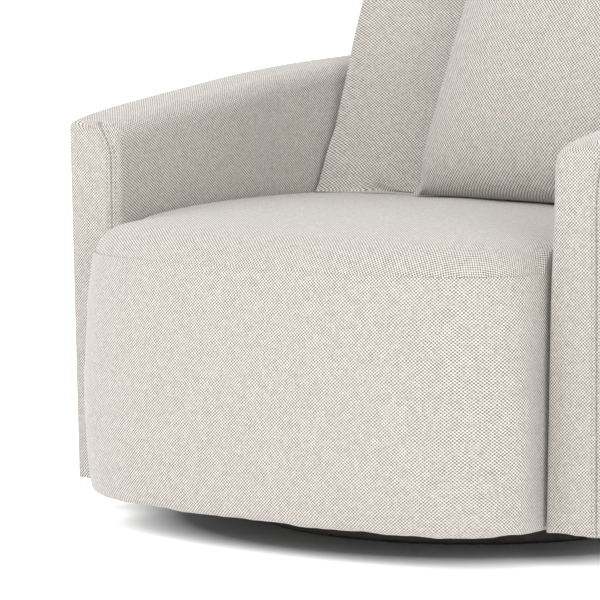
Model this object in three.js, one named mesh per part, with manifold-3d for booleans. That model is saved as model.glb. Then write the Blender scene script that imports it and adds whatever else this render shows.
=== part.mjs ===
// Barrel glider chair: an upholstered barrel shell and a D-fronted seat that swivel on a
// round plinth and glide fore and aft on four hanging links, with a loose back cushion and
// a throw pillow. Millimetres, +Z up, front towards -Y, +X to the viewer's right.
// The origin is on the floor, on the swivel axis.
import * as THREE from "three";
import { mergeVertices } from "three/addons/utils/BufferGeometryUtils.js";
import Module from "manifold-3d";

const wasm = await Module();
wasm.setup();

// ---------------------------------------------------------------- driving dimensions
const GAP = 0.3; // between pieces that touch
const FACET_ROOM = 3; // between curved pieces whose flat facets differ
const CHAIR_BOTTOM = 46;

// Barrel shell
const ARM_OUTER_HALF = 450; // half width over the arms at the bottom edge
const ARM_FRONT_Y = -328;
const ARM_STRAIGHT_END_Y = -40;
const SHELL_REAR_Y = 378;
const SHELL_ROUNDNESS = 2.3; // power of the superellipse round the back
const SIDE_FLARE = 0.0286; // outward lean of the outer face, mm per mm of height
const BACK_FLARE = 0.085;
const ARM_TOP_THICKNESS = 93;
const ARM_THICKENING = 0.0141; // how much thicker the arm is for each mm of height
const BACK_TOP_THICKNESS = 62;
const BACK_LEAN = 18; // degrees, inner face of the back and the back cushion
const ARM_FRONT_HEIGHT = 557;
const ARM_SLOPE = 0.135; // rise of the arm top per mm of depth
const ARM_CROWN = 8;
const ARM_CROWN_LENGTH = 50;
const BACK_RISE = 40;
const BACK_RISE_START_Y = 215;
const OUTER_EDGE_RADIUS = 10;
const INNER_EDGE_RADIUS = 30;
const INNER_EDGE_DROP = 4;
const FRONT_PANEL_THICKNESS = 14;
const OUTER_COVER_THICKNESS = 4;
const OUTER_COVER_DROP = 12; // its top edge below the crest
const INNER_PAD_THICKNESS = 22;
const INNER_PAD_LAP = 5; // how far its foot stands above the seat rails
const TOP_PAD_DEPTH = 42;

// Frame inside the shell
const FRAME_OUTER_INSET = 8;
const FRAME_INNER_INSET = 46;
const FRAME_FRONT_SETBACK = 16; // behind the arm front face
const BASE_RAIL_BOTTOM = 50;
const BASE_RAIL_TOP = 100;
const TOP_RAIL_HEIGHT = 36;
const POST_WIDTH = 44;
const FRONT_POST_AT = 22; // along the shell from the arm front

// Seat
const SEAT_GAP = 5; // between the seat block and each arm
const SEAT_DEPTH_BULGE = 161; // the D front ahead of the arm faces
const SEAT_ROUNDNESS = 2.95;
const SEAT_SEAM_HEIGHT = 384;
const SEAT_EDGE_RISE = 34;
const SEAT_EDGE_LENGTH = 12;
const SEAT_CROWN_RISE = 26;
const SEAT_CROWN_LENGTH = 100;
const SEAT_SIDE_DROP = 5;
const SEAT_TOP_THICKNESS = 6;
const SEAT_ROLL_WIDTH = 25;
const SEAT_ROLL_STEPS = [0, 4, 12]; // insets of the rings over the rolled edge
const SEAT_MIDDLE_DEPTH = 260; // point that the crown is drawn round, behind the arm faces
const FOAM_SHARE = 0.985; // plan of the foam against the room inside the cover
const SEAT_LEVEL = 440; // where the back's inner face starts to lean
const SEAT_SUPPORT_LEVEL = 340; // top of the seat rails
const SEAT_RAIL_HEIGHT = 90;
const SEAT_RAIL_THICKNESS = 18;
const SEAT_REAR_RAIL_Y = 108;
const FRONT_BAND_THICKNESS = 24;
const FRONT_BAND_BULGE = 14;
const FRONT_BAND_SWELL_RUN = 60; // how far ahead of the arms it reaches its full bulge
const FRONT_BAND_RETURN = 28; // how far it runs back between the arms
const FRONT_RAIL_LIFT = 14; // the front rail's lower edge above the hem
const SPRING_COUNT = 4;
const SPRING_SPACING = 140;
const SPRING_WIRE = 3.6;
const SPRING_WAVE = 22;
const SPRING_PITCH = 62;
const SPRING_STEPS = 6; // bends drawn in each wave
const SPRING_SIDES = 5;
const SPRING_OVERLAP = 12; // how far each end lies over its rail
const DECK_THICKNESS = 4;
const DUST_COVER_THICKNESS = 1.2;
const DUST_OPENING_MARGIN = 6;

// Plinth and swivel
const FELT_THICKNESS = 3;
const FELT_RADIUS = 298;
const PLINTH_RADIUS = 307;
const PLINTH_TOP = 40;
const PLINTH_EDGE = 4;
const RECESS_CLEARANCE = 1; // round and above the pivot bolt's head
const BEARING_PLATE_THICKNESS = 3;
const LOWER_PLATE_RADIUS = 140;
const BALL_RADIUS = 3.5;
const BALL_COUNT = 12;
const BALL_RING_RADIUS = 112;
const CAGE_WIDTH = 16;
const CAGE_THICKNESS = 3;
const BALL_CLEARANCE = 0.4;
const TURNTABLE_HALF = 150;
const PIVOT_RADIUS = 6;
const PIVOT_CLEARANCE = 0.5;
const PIVOT_HEAD_RADIUS = 14;
const PIVOT_HEAD_HEIGHT = 7;
const PIVOT_NUT_HEIGHT = 8;
const PIVOT_NUT_RADIUS = 12;
const PIVOT_BOLT_END = 5; // how far the bolt stands above its nut

// Glide linkage
const LINK_LENGTH = 110;
const LINK_SWING = 20; // degrees each way
const LINK_PIVOT_Y = 95;
const LINK_BOTTOM_Z = 65;
const LINK_WIDTH = 20;
const LINK_THICKNESS = 4;
const LINK_GAP = 1; // between the link and the plates beside it
const HANGER_THICKNESS = 4;
const HANGER_FLANGE = 34;
const HANGER_HALF_LENGTH = 112;
const HANGER_EAR_INNER = 40; // each ear's top reaches this far inward of its pin
const HANGER_EAR_SLOPE = 18;
const HANGER_WAIST_DROP = 34;
const PIN_RADIUS = 5;
const PIN_CLEARANCE = 0.35;
const PIN_HEAD_RADIUS = 8;
const PIN_HEAD_HEIGHT = 3;
const TIE_DROP = 62; // below the top pins
const TIE_HEIGHT = 22;
const BUMPER_RADIUS = 9;
const BUMPER_LENGTH = 12;
const BUMPER_CLEARANCE = 3;
const BUMPER_NOSE = 4; // taper at its free end
const RAIL_THICKNESS = 4;
const RAIL_HEIGHT = 48;
const RAIL_UNDER_LINK = 2; // its lower edge below the links' ends
const RAIL_TOE = 24; // its lower edge past each pin
const RAIL_END_HEIGHT = 16;
const RAIL_FLANGE = 40;
const CROSS_RAIL_WIDTH = 34;
const CROSS_RAIL_HEIGHT = 46;
const CROSS_RAIL_BEARING = 24; // how far each end lies on the base rail
const BOLT_RADIUS = 4;
const BOLT_LENGTH = 30;
const BOLT_HEAD_RADIUS = 8;
const BOLT_HEAD_HEIGHT = 5;
const DRILL_OVERRUN = 5; // a drilled hole starts this far below the face
const ARM_GLIDE_RADIUS = 11;
const ARM_GLIDE_HEIGHT = 4;
const ARM_GLIDE_SETBACK = 14;
const ARM_GLIDE_EDGE = 1;

// Loose cushions
const CUSHION_HEIGHT = 446; // along the lean
const CUSHION_CLEARANCE = 4;
const CUSHION_SIDE_Y = 108; // where its sides meet the shell
const CUSHION_FRONT_Y = 128; // middle of the front face at its foot
const CUSHION_FRONT_WRAP = 38; // how far its front curls forward at the sides
const CUSHION_WRAP_POWER = 2.2;
const CUSHION_FRONT_SHARE = 0.92; // width of the front face against the back
const CUSHION_ROUNDING = [
  // height from the nearer end, and how far it is drawn in there
  [0, 0.3],
  [14, 0.1],
  [34, 0],
];
const CUSHION_TOP_ROUNDING = [
  [40, 0.05],
  [14, 0.2],
  [0, 0.5],
];
const SOFT_REST = 2; // air between the seat crown and what stands on it
const PILLOW_SIZE = 470;
const PILLOW_CENTRE_X = 75;
const PILLOW_FOOT_Y = 56;
const PILLOW_LEAN = 22.5;
const PILLOW_TURN = -6;
const PILLOW_FRONT_CROWN = 84;
const PILLOW_REAR_CROWN = 26;
const PILLOW_EDGE = 3;
const PILLOW_EAR_PULL = 0.05;
const PILLOW_SQUARENESS = 4;
const PILLOW_FULLNESS = 0.6;
const PILLOW_CELLS = 8;

// ---------------------------------------------------------------- finishes
const FABRIC = { color: 0xcfc8be, roughness: 0.95, metalness: 0 };
const WOOD = { color: 0xb98f62, roughness: 0.7, metalness: 0 };
const STEEL = { color: 0x8d9094, roughness: 0.4, metalness: 0.9 };
const BLACK_STEEL = { color: 0x26272a, roughness: 0.5, metalness: 0.6 };
const PLINTH_STAIN = { color: 0x3b342f, roughness: 0.55, metalness: 0 };
const FOAM = { color: 0xe9dfae, roughness: 1, metalness: 0 };
const FELT = { color: 0x2b2b2c, roughness: 1, metalness: 0 };
const RUBBER = { color: 0x1b1b1c, roughness: 0.85, metalness: 0 };

// ---------------------------------------------------------------- geometry helpers
const radians = THREE.MathUtils.degToRad;
const smooth = THREE.MathUtils.smoothstep;
const mix = THREE.MathUtils.lerp;
const chair = new THREE.Group();

function addPart(name, geometry, finish) {
  const mesh = new THREE.Mesh(geometry, new THREE.MeshStandardMaterial(finish));
  mesh.name = name;
  chair.add(mesh);
  return mesh;
}

// Points and triangles to a geometry whose faces point out.
function closedGeometry(points, triangles) {
  let volume = 0;
  for (const [a, b, c] of triangles) {
    volume += points[a].dot(new THREE.Vector3().crossVectors(points[b], points[c]));
  }
  const ordered = volume < 0 ? triangles.map(([a, b, c]) => [a, c, b]) : triangles;
  const geometry = new THREE.BufferGeometry().setFromPoints(points);
  geometry.setIndex(ordered.flat());
  geometry.computeVertexNormals();
  return geometry;
}

// A solid through rings of matching points, capped at both ends. flat(i) gives ring i's
// points in its own plane, to cut the caps into triangles.
function loft(rings, flat) {
  const count = rings[0].length;
  const triangles = [];
  for (let r = 0; r + 1 < rings.length; r += 1) {
    for (let i = 0; i < count; i += 1) {
      const next = (i + 1) % count;
      const [a, b] = [r * count + i, r * count + next];
      triangles.push([a, b, b + count], [a, b + count, a + count]);
    }
  }
  const last = rings.length - 1;
  for (const [a, b, c] of capTriangles(flat(0))) triangles.push([a, c, b]);
  for (const [a, b, c] of capTriangles(flat(last))) {
    triangles.push([a + last * count, b + last * count, c + last * count]);
  }
  return closedGeometry(rings.flat(), triangles);
}

// ShapeUtils wants its outline anticlockwise; the triangles keep the ring's own direction.
function capTriangles(outline) {
  const area = THREE.ShapeUtils.area(outline);
  const order = outline.map((point, index) => index);
  if (area < 0) order.reverse();
  const faces = THREE.ShapeUtils.triangulateShape(order.map((i) => outline[i]), []);
  const back = faces.map(([a, b, c]) => [order[a], order[b], order[c]]);
  return area < 0 ? back.map(([a, b, c]) => [a, c, b]) : back;
}

function manifoldOf(geometry, matrix = new THREE.Matrix4()) {
  const bare = geometry.clone().applyMatrix4(matrix);
  bare.deleteAttribute("normal");
  bare.deleteAttribute("uv");
  const merged = mergeVertices(bare, 1e-4);
  return new wasm.Manifold(
    new wasm.Mesh({
      numProp: 3,
      vertProperties: merged.attributes.position.array,
      triVerts: new Uint32Array(merged.index.array),
    }),
  );
}

function geometryOf(solid) {
  const mesh = solid.getMesh();
  const geometry = new THREE.BufferGeometry();
  geometry.setAttribute("position", new THREE.BufferAttribute(mesh.vertProperties, 3));
  geometry.setIndex(new THREE.BufferAttribute(mesh.triVerts, 1));
  geometry.computeVertexNormals();
  return geometry;
}

function boxBetween(low, high) {
  const size = high.map((value, axis) => value - low[axis]);
  const middle = high.map((value, axis) => (value + low[axis]) / 2);
  return new THREE.BoxGeometry(...size).translate(...middle);
}

// A turned piece about Z from [radius, height] pairs that start and end on the axis.
function turned(profile, segments = 48) {
  return new THREE.LatheGeometry(
    profile.map(([radius, height]) => new THREE.Vector2(radius, height)),
    segments,
  ).rotateX(Math.PI / 2);
}

// A turned ring: the profile closes on itself, clear of the axis.
function turnedRing(profile, segments = 48) {
  return turned([...profile, profile[0]], segments);
}

// A shape drawn in (y, z) and given a thickness along X from x.
function plateAcrossX(shape, x, thickness) {
  const geometry = new THREE.ExtrudeGeometry(shape, {
    depth: thickness,
    bevelEnabled: false,
    curveSegments: 8,
  });
  const yzx = new THREE.Matrix4().makeBasis(
    new THREE.Vector3(0, 1, 0),
    new THREE.Vector3(0, 0, 1),
    new THREE.Vector3(1, 0, 0),
  );
  return geometry.applyMatrix4(yzx).translate(x, 0, 0);
}

function circleHole(y, z, radius) {
  return new THREE.Path().absarc(y, z, radius, 0, 2 * Math.PI, true);
}

// ---------------------------------------------------------------- barrel shell form
// Plan of the shell's outer face at the bottom edge, from the front of the left arm round
// the back to the front of the right arm.
class ShellPlan extends THREE.Curve {
  getPoint(t, target = new THREE.Vector2()) {
    const straightShare = 0.2;
    const side = t < 0.5 ? -1 : 1;
    const along = Math.min(t, 1 - t);
    if (along < straightShare) {
      const y = mix(ARM_FRONT_Y, ARM_STRAIGHT_END_Y, along / straightShare);
      return target.set(side * ARM_OUTER_HALF, y);
    }
    const angle = ((along - straightShare) / (0.5 - straightShare)) * (Math.PI / 2);
    const power = 2 / SHELL_ROUNDNESS;
    const depth = SHELL_REAR_Y - ARM_STRAIGHT_END_Y;
    return target.set(
      side * ARM_OUTER_HALF * Math.cos(angle) ** power,
      ARM_STRAIGHT_END_Y + depth * Math.sin(angle) ** power,
    );
  }
}

const shellPlan = new ShellPlan();
shellPlan.arcLengthDivisions = 400;
const SHELL_LENGTH = shellPlan.getLength();

// Everything the section needs at a distance along the shell: the plan point, its outward
// normal and how far it faces the back (0 on the arms, 1 in the middle of the back).
function shellStation(distance) {
  const share = THREE.MathUtils.clamp(distance / SHELL_LENGTH, 0, 1);
  const point = shellPlan.getPointAt(share, new THREE.Vector2());
  const tangent = shellPlan.getTangentAt(share, new THREE.Vector2());
  const normal = new THREE.Vector2(-tangent.y, tangent.x);
  return { point, normal, back: Math.max(normal.y, 0), crest: crestHeight(point.y) };
}

function crestHeight(y) {
  const depth = y - ARM_FRONT_Y;
  const crown = ARM_CROWN * (1 - Math.exp(-depth / ARM_CROWN_LENGTH));
  const rise = BACK_RISE * smooth(y, BACK_RISE_START_Y, SHELL_REAR_Y);
  return ARM_FRONT_HEIGHT + ARM_SLOPE * depth + crown + rise;
}

// Distance along the left arm at which the shell's plan reaches a depth.
function distanceAtDepth(y) {
  let distance = 0;
  while (shellStation(distance).point.y < y) distance += 1;
  return distance;
}

// Half the room between the two runs of the shell's frame at a depth.
function frameHalfAt(y) {
  const station = shellStation(distanceAtDepth(y));
  return -shellPoint(station, FRAME_INNER_INSET, CHAIR_BOTTOM).x;
}

function outerFlare(station, z) {
  return (z - CHAIR_BOTTOM) * mix(SIDE_FLARE, BACK_FLARE, station.back);
}

function wallThickness(station, z) {
  const top = mix(ARM_TOP_THICKNESS, BACK_TOP_THICKNESS, station.back);
  const lean = station.back * (Math.tan(radians(BACK_LEAN)) + ARM_THICKENING - BACK_FLARE);
  const leaning = Math.max(station.crest - Math.max(z, SEAT_LEVEL), 0) * lean;
  return top - (station.crest - z) * ARM_THICKENING + leaning;
}

// A point of the shell: inset is measured inward from the outer face at that height.
function shellPoint(station, inset, z) {
  const out = outerFlare(station, z) - inset;
  return new THREE.Vector3(
    station.point.x + station.normal.x * out,
    station.point.y + station.normal.y * out,
    z,
  );
}

// Sweeps a section, a function of the station giving [inset, height] pairs.
function sweepShell(section, from, to, steps) {
  const rings = [];
  const outlines = [];
  for (let i = 0; i <= steps; i += 1) {
    const station = shellStation(mix(from, to, i / steps));
    const pairs = section(station);
    rings.push(pairs.map(([inset, z]) => shellPoint(station, inset, z)));
    outlines.push(pairs.map(([inset, z]) => new THREE.Vector2(inset, z)));
  }
  return loft(rings, (index) => outlines[index]);
}

// Rounded top of the wall, from the outer face over the crest to the inner face.
function crestPairs(station) {
  const pairs = [];
  for (let i = 0; i <= 2; i += 1) {
    const angle = (i / 2) * (Math.PI / 2);
    pairs.push([
      OUTER_EDGE_RADIUS * (1 - Math.cos(angle)),
      station.crest - OUTER_EDGE_RADIUS * (1 - Math.sin(angle)),
    ]);
  }
  const innerTop = station.crest - INNER_EDGE_DROP;
  const thickness = wallThickness(station, innerTop - INNER_EDGE_RADIUS);
  for (let i = 0; i <= 4; i += 1) {
    const angle = (i / 4) * (Math.PI / 2);
    pairs.push([
      thickness - INNER_EDGE_RADIUS * (1 - Math.sin(angle)),
      innerTop - INNER_EDGE_RADIUS * (1 - Math.cos(angle)),
    ]);
  }
  return pairs;
}

function innerFacePairs(station, bottom, inset) {
  return [SEAT_LEVEL, bottom].map((z) => [wallThickness(station, z) - inset, z]);
}

// ---------------------------------------------------------------- shell pieces
const COVER_START = FRONT_PANEL_THICKNESS + GAP;
const COVER_STEPS = 34;

function outerCoverSection(station) {
  const top = station.crest - OUTER_COVER_DROP;
  return [
    [0, CHAIR_BOTTOM],
    [0, top],
    [OUTER_COVER_THICKNESS, top],
    [OUTER_COVER_THICKNESS, CHAIR_BOTTOM],
  ];
}

function innerPadSection(station) {
  const bottom = SEAT_SUPPORT_LEVEL + INNER_PAD_LAP;
  const lip = station.crest - OUTER_COVER_DROP + GAP;
  const under = station.crest - TOP_PAD_DEPTH;
  const inside = innerFacePairs(station, bottom, INNER_PAD_THICKNESS).reverse();
  return [
    [0, lip],
    ...crestPairs(station),
    ...innerFacePairs(station, bottom, 0),
    ...inside,
    [wallThickness(station, under) - INNER_PAD_THICKNESS, under],
    [OUTER_COVER_THICKNESS + GAP, under],
    [OUTER_COVER_THICKNESS + GAP, lip],
  ];
}

function frontPanelSection(station) {
  return [
    [0, CHAIR_BOTTOM],
    ...crestPairs(station),
    ...innerFacePairs(station, CHAIR_BOTTOM, 0),
  ];
}

function frameSection(bottomAt, topAt) {
  return (station) => [
    [FRAME_OUTER_INSET, bottomAt(station)],
    [FRAME_OUTER_INSET, topAt(station)],
    [FRAME_INNER_INSET, topAt(station)],
    [FRAME_INNER_INSET, bottomAt(station)],
  ];
}

const topRailTop = (station) => station.crest - TOP_PAD_DEPTH - FACET_ROOM;
const topRailBottom = (station) => topRailTop(station) - TOP_RAIL_HEIGHT;

function addShell() {
  const end = SHELL_LENGTH - COVER_START;
  addPart("shell_outer_cover", sweepShell(outerCoverSection, COVER_START, end, COVER_STEPS), FABRIC);
  addPart("shell_inner_pad", sweepShell(innerPadSection, COVER_START, end, COVER_STEPS), FABRIC);
  for (const [side, from] of [
    ["left", 0],
    ["right", SHELL_LENGTH - FRONT_PANEL_THICKNESS],
  ]) {
    const panel = sweepShell(frontPanelSection, from, from + FRONT_PANEL_THICKNESS, 1);
    addPart(`arm_front_panel_${side}`, panel, FABRIC);
  }
}

function addShellFrame() {
  const from = FRAME_FRONT_SETBACK;
  const to = SHELL_LENGTH - from;
  const baseRail = frameSection(
    () => BASE_RAIL_BOTTOM,
    () => BASE_RAIL_TOP,
  );
  const topRail = frameSection(topRailBottom, topRailTop);
  addPart("frame_base_rail", sweepShell(baseRail, from, to, 30), WOOD);
  addPart("frame_top_rail", sweepShell(topRail, from, to, 30), WOOD);
  const post = frameSection(
    () => BASE_RAIL_TOP + GAP,
    (station) => topRailBottom(station) - FACET_ROOM,
  );
  for (const [place, at] of [
    ["front", FRONT_POST_AT],
    ["rear", distanceAtDepth(SEAT_REAR_RAIL_Y) - POST_WIDTH / 2],
  ]) {
    const mirrored = SHELL_LENGTH - at - POST_WIDTH;
    addPart(`frame_post_${place}_left`, sweepShell(post, at, at + POST_WIDTH, 2), WOOD);
    addPart(`frame_post_${place}_right`, sweepShell(post, mirrored, mirrored + POST_WIDTH, 2), WOOD);
  }
}

const DUST_COVER_BOTTOM = BASE_RAIL_BOTTOM - GAP - DUST_COVER_THICKNESS;
const DUST_COVER_STEPS = 24;

function addArmGlides() {
  const centre = (FRAME_OUTER_INSET + FRAME_INNER_INSET) / 2;
  for (const side of [-1, 1]) {
    const glide = turned(
      [
        [0, CHAIR_BOTTOM - ARM_GLIDE_HEIGHT],
        [ARM_GLIDE_RADIUS - ARM_GLIDE_EDGE, CHAIR_BOTTOM - ARM_GLIDE_HEIGHT],
        [ARM_GLIDE_RADIUS, CHAIR_BOTTOM - ARM_GLIDE_HEIGHT + ARM_GLIDE_EDGE],
        [ARM_GLIDE_RADIUS, DUST_COVER_BOTTOM - GAP],
        [0, DUST_COVER_BOTTOM - GAP],
      ],
      20,
    ).translate(
      side * (ARM_OUTER_HALF - centre),
      ARM_FRONT_Y + FRONT_PANEL_THICKNESS + GAP + ARM_GLIDE_SETBACK,
      0,
    );
    addPart(`arm_glide_${side < 0 ? "left" : "right"}`, glide, RUBBER);
  }
}

// ---------------------------------------------------------------- seat form
const SEAT_HALF = ARM_OUTER_HALF - armBottomThickness() - SEAT_GAP;
const FRONT_STEPS = 20;
const SIDE_STEPS = 22;

function armBottomThickness() {
  return wallThickness(shellStation(0), CHAIR_BOTTOM);
}

// The D front in plan; share runs from 0 at the left arm to 1 at the right arm.
function frontPoint(share) {
  const angle = share * Math.PI;
  const power = 2 / SEAT_ROUNDNESS;
  const cosine = Math.cos(angle);
  return new THREE.Vector2(
    -SEAT_HALF * Math.sign(cosine) * Math.abs(cosine) ** power,
    ARM_FRONT_Y - SEAT_DEPTH_BULGE * Math.sin(angle) ** power,
  );
}

function frontNormal(share) {
  const step = 0.002;
  const before = frontPoint(Math.max(share - step, 0));
  const after = frontPoint(Math.min(share + step, 1));
  const along = after.sub(before).normalize();
  return new THREE.Vector2(along.y, -along.x);
}

const frontEdge = Array.from({ length: FRONT_STEPS + 1 }, (_, i) => frontPoint(i / FRONT_STEPS));

// The whole seat in plan: the D front, then back along the shell's inner face.
const seatOutline = [...frontEdge, ...seatSides()];

function seatSides() {
  const points = [];
  const from = SHELL_LENGTH - COVER_START;
  for (let i = 1; i < SIDE_STEPS; i += 1) {
    const station = shellStation(mix(from, COVER_START, i / SIDE_STEPS));
    const inset = wallThickness(station, SEAT_SUPPORT_LEVEL) + SEAT_GAP;
    const point = shellPoint(station, inset, SEAT_SUPPORT_LEVEL);
    points.push(
      new THREE.Vector2(THREE.MathUtils.clamp(point.x, -SEAT_HALF, SEAT_HALF), point.y),
    );
  }
  return points;
}

// Moves each corner of an anticlockwise outline inward along its own normal.
function insetOutline(outline, inset) {
  return outline.map((point, i) => {
    const before = outline[(i + outline.length - 1) % outline.length];
    const after = outline[(i + 1) % outline.length];
    const along = after.clone().sub(before).normalize();
    return new THREE.Vector2(point.x - along.y * inset, point.y + along.x * inset);
  });
}

function distanceToFront(x, y) {
  let nearest = Infinity;
  for (let i = 0; i + 1 < frontEdge.length; i += 1) {
    const [a, b] = [frontEdge[i], frontEdge[i + 1]];
    const along = b.clone().sub(a);
    const share = ((x - a.x) * along.x + (y - a.y) * along.y) / along.lengthSq();
    const foot = a.clone().addScaledVector(along, THREE.MathUtils.clamp(share, 0, 1));
    nearest = Math.min(nearest, Math.hypot(x - foot.x, y - foot.y));
  }
  return nearest;
}

function seatTop(x, y) {
  const distance = distanceToFront(x, y);
  const edge = SEAT_EDGE_RISE * (1 - Math.exp(-distance / SEAT_EDGE_LENGTH));
  const crown = SEAT_CROWN_RISE * (1 - Math.exp(-distance / SEAT_CROWN_LENGTH));
  const side = SEAT_SIDE_DROP * (x / SEAT_HALF) ** 2;
  return SEAT_SEAM_HEIGHT + edge + crown - side;
}

const SEAT_CROWN_HEIGHT = SEAT_SEAM_HEIGHT + SEAT_EDGE_RISE + SEAT_CROWN_RISE;
const SEAT_CENTRE = new THREE.Vector2(0, ARM_FRONT_Y + SEAT_MIDDLE_DEPTH);

function scaledOutline(outline, share) {
  return outline.map((point) => SEAT_CENTRE.clone().lerp(point, share));
}

// Rings of plan outlines with a height for each point, closed by a flat fan or cap.
function ringsAt(outlines, heightOf) {
  return outlines.map((outline, k) =>
    outline.map((point) => new THREE.Vector3(point.x, point.y, heightOf(point, k))),
  );
}

const DOME_SHARES = [0.86, 0.62, 0.34, 0.1];

function seatTopCover() {
  const edge = insetOutline(seatOutline, SEAT_ROLL_WIDTH);
  const over = SEAT_ROLL_STEPS.map((inset) => insetOutline(seatOutline, inset));
  const dome = [edge, ...DOME_SHARES.map((share) => scaledOutline(edge, share))];
  const outside = ringsAt([...over, ...dome], (point, k) =>
    k === 0 ? SEAT_SEAM_HEIGHT + GAP : seatTop(point.x, point.y),
  );
  const under = ringsAt([...dome].reverse(), (point) => seatTop(point.x, point.y) - SEAT_TOP_THICKNESS);
  const foot = ringsAt([edge], () => SEAT_SEAM_HEIGHT + GAP);
  return closedStack([...under, ...foot, ...outside]);
}

// A solid whose rings run from one small middle ring out and back to another.
function closedStack(rings) {
  const last = rings.length - 1;
  const flat = (index) => rings[index].map((point) => new THREE.Vector2(point.x, point.y));
  return loft(rings, (index) => flat(index === 0 ? 0 : last));
}

function seatFoam() {
  const edge = scaledOutline(insetOutline(seatOutline, SEAT_ROLL_WIDTH), FOAM_SHARE);
  const bottom = SEAT_SUPPORT_LEVEL + SPRING_WIRE + DECK_THICKNESS + 3 * GAP;
  const dome = [edge, ...DOME_SHARES.map((share) => scaledOutline(edge, share))];
  const top = ringsAt(
    dome,
    (point) => seatTop(point.x, point.y) - SEAT_TOP_THICKNESS - 2 * FACET_ROOM,
  );
  return closedStack([...ringsAt([edge], () => bottom), ...top]);
}

function extrudedOutline(outline, bottom, thickness, hole) {
  const shape = new THREE.Shape(outline);
  if (hole) shape.holes.push(new THREE.Path(hole));
  return new THREE.ExtrudeGeometry(shape, { depth: thickness, bevelEnabled: false }).translate(
    0,
    0,
    bottom,
  );
}

// ---------------------------------------------------------------- seat pieces
// The front band's outer face swells between the seam and the bottom hem.
const BAND_PROFILE = [
  [0, 0],
  [0.45, 0.035],
  [0.85, 0.16],
  [1, 0.45],
  [0.8, 0.75],
  [0.3, 0.94],
  [0, 1],
];

// Sweeps [outset, height] pairs along the D front and a little way back at each side.
function sweepFront(pairsAt) {
  const rings = [];
  const outlines = [];
  const stations = [
    { share: 0, run: FRONT_BAND_RETURN },
    ...frontEdge.map((_, i) => ({ share: i / FRONT_STEPS, run: 0 })),
    { share: 1, run: FRONT_BAND_RETURN },
  ];
  for (const { share, run } of stations) {
    const point = frontPoint(share);
    const side = share === 0 ? -1 : 1;
    const normal = share === 0 || share === 1 ? new THREE.Vector2(side, 0) : frontNormal(share);
    const pairs = pairsAt(ARM_FRONT_Y - point.y);
    rings.push(
      pairs.map(
        ([out, z]) =>
          new THREE.Vector3(point.x + normal.x * out, point.y + run + normal.y * out, z),
      ),
    );
    outlines.push(pairs.map(([out, z]) => new THREE.Vector2(out, z)));
  }
  return loft(rings, (index) => outlines[index]);
}

function bandPairs(ahead) {
  const swell = FRONT_BAND_BULGE * smooth(ahead, 0, FRONT_BAND_SWELL_RUN);
  const height = SEAT_SEAM_HEIGHT - CHAIR_BOTTOM;
  const outside = BAND_PROFILE.map(([out, up]) => [out * swell, CHAIR_BOTTOM + up * height]);
  return [
    ...outside,
    [-FRONT_BAND_THICKNESS, SEAT_SEAM_HEIGHT],
    [-FRONT_BAND_THICKNESS, CHAIR_BOTTOM],
  ];
}

const RAIL_OUTER = FRONT_BAND_THICKNESS + GAP;
const RAIL_INNER = RAIL_OUTER + SEAT_RAIL_THICKNESS;

function railPairs() {
  return [
    [-RAIL_OUTER, CHAIR_BOTTOM + FRONT_RAIL_LIFT],
    [-RAIL_OUTER, SEAT_SUPPORT_LEVEL],
    [-RAIL_INNER, SEAT_SUPPORT_LEVEL],
    [-RAIL_INNER, CHAIR_BOTTOM + FRONT_RAIL_LIFT],
  ];
}

function addSeat() {
  addPart("seat_front_band", sweepFront(bandPairs), FABRIC);
  addPart("seat_front_rail", sweepFront(railPairs), WOOD);
  const railBottom = SEAT_SUPPORT_LEVEL - SEAT_RAIL_HEIGHT;
  const sideStart = ARM_FRONT_Y + FRONT_BAND_RETURN + GAP;
  for (const side of [-1, 1]) {
    const [inner, outer] = [side * (SEAT_HALF - RAIL_INNER), side * (SEAT_HALF - RAIL_OUTER)];
    const rail = boxBetween(
      [Math.min(inner, outer), sideStart, railBottom],
      [Math.max(inner, outer), SEAT_REAR_RAIL_Y - GAP, SEAT_SUPPORT_LEVEL],
    );
    addPart(`seat_side_rail_${side < 0 ? "left" : "right"}`, rail, WOOD);
  }
  const rearHalf = frameHalfAt(SEAT_REAR_RAIL_Y + SEAT_RAIL_THICKNESS) - 2 * GAP;
  const rearRail = boxBetween(
    [-rearHalf, SEAT_REAR_RAIL_Y, railBottom],
    [rearHalf, SEAT_REAR_RAIL_Y + SEAT_RAIL_THICKNESS, SEAT_SUPPORT_LEVEL],
  );
  addPart("seat_rear_rail", rearRail, WOOD);
  addSprings();
  const deckBottom = SEAT_SUPPORT_LEVEL + SPRING_WIRE + 2 * GAP;
  const deck = insetOutline(seatOutline, SEAT_ROLL_WIDTH + 1);
  addPart("seat_deck", extrudedOutline(deck, deckBottom, DECK_THICKNESS - GAP), FELT);
  addPart("seat_foam", seatFoam(), FOAM);
  addPart("seat_top_cover", seatTopCover(), FABRIC);
}

// Y of the front rail's inner face at a given X, found on the D front moved inward.
function frontRailInnerY(x) {
  const inner = frontEdge.map((_, i) => {
    const share = i / FRONT_STEPS;
    return frontPoint(share).addScaledVector(frontNormal(share), -RAIL_INNER);
  });
  for (let i = 1; i < inner.length; i += 1) {
    const [a, b] = [inner[i - 1], inner[i]];
    if (a.x <= x && b.x >= x) return mix(a.y, b.y, (x - a.x) / (b.x - a.x));
  }
  return ARM_FRONT_Y;
}

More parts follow.
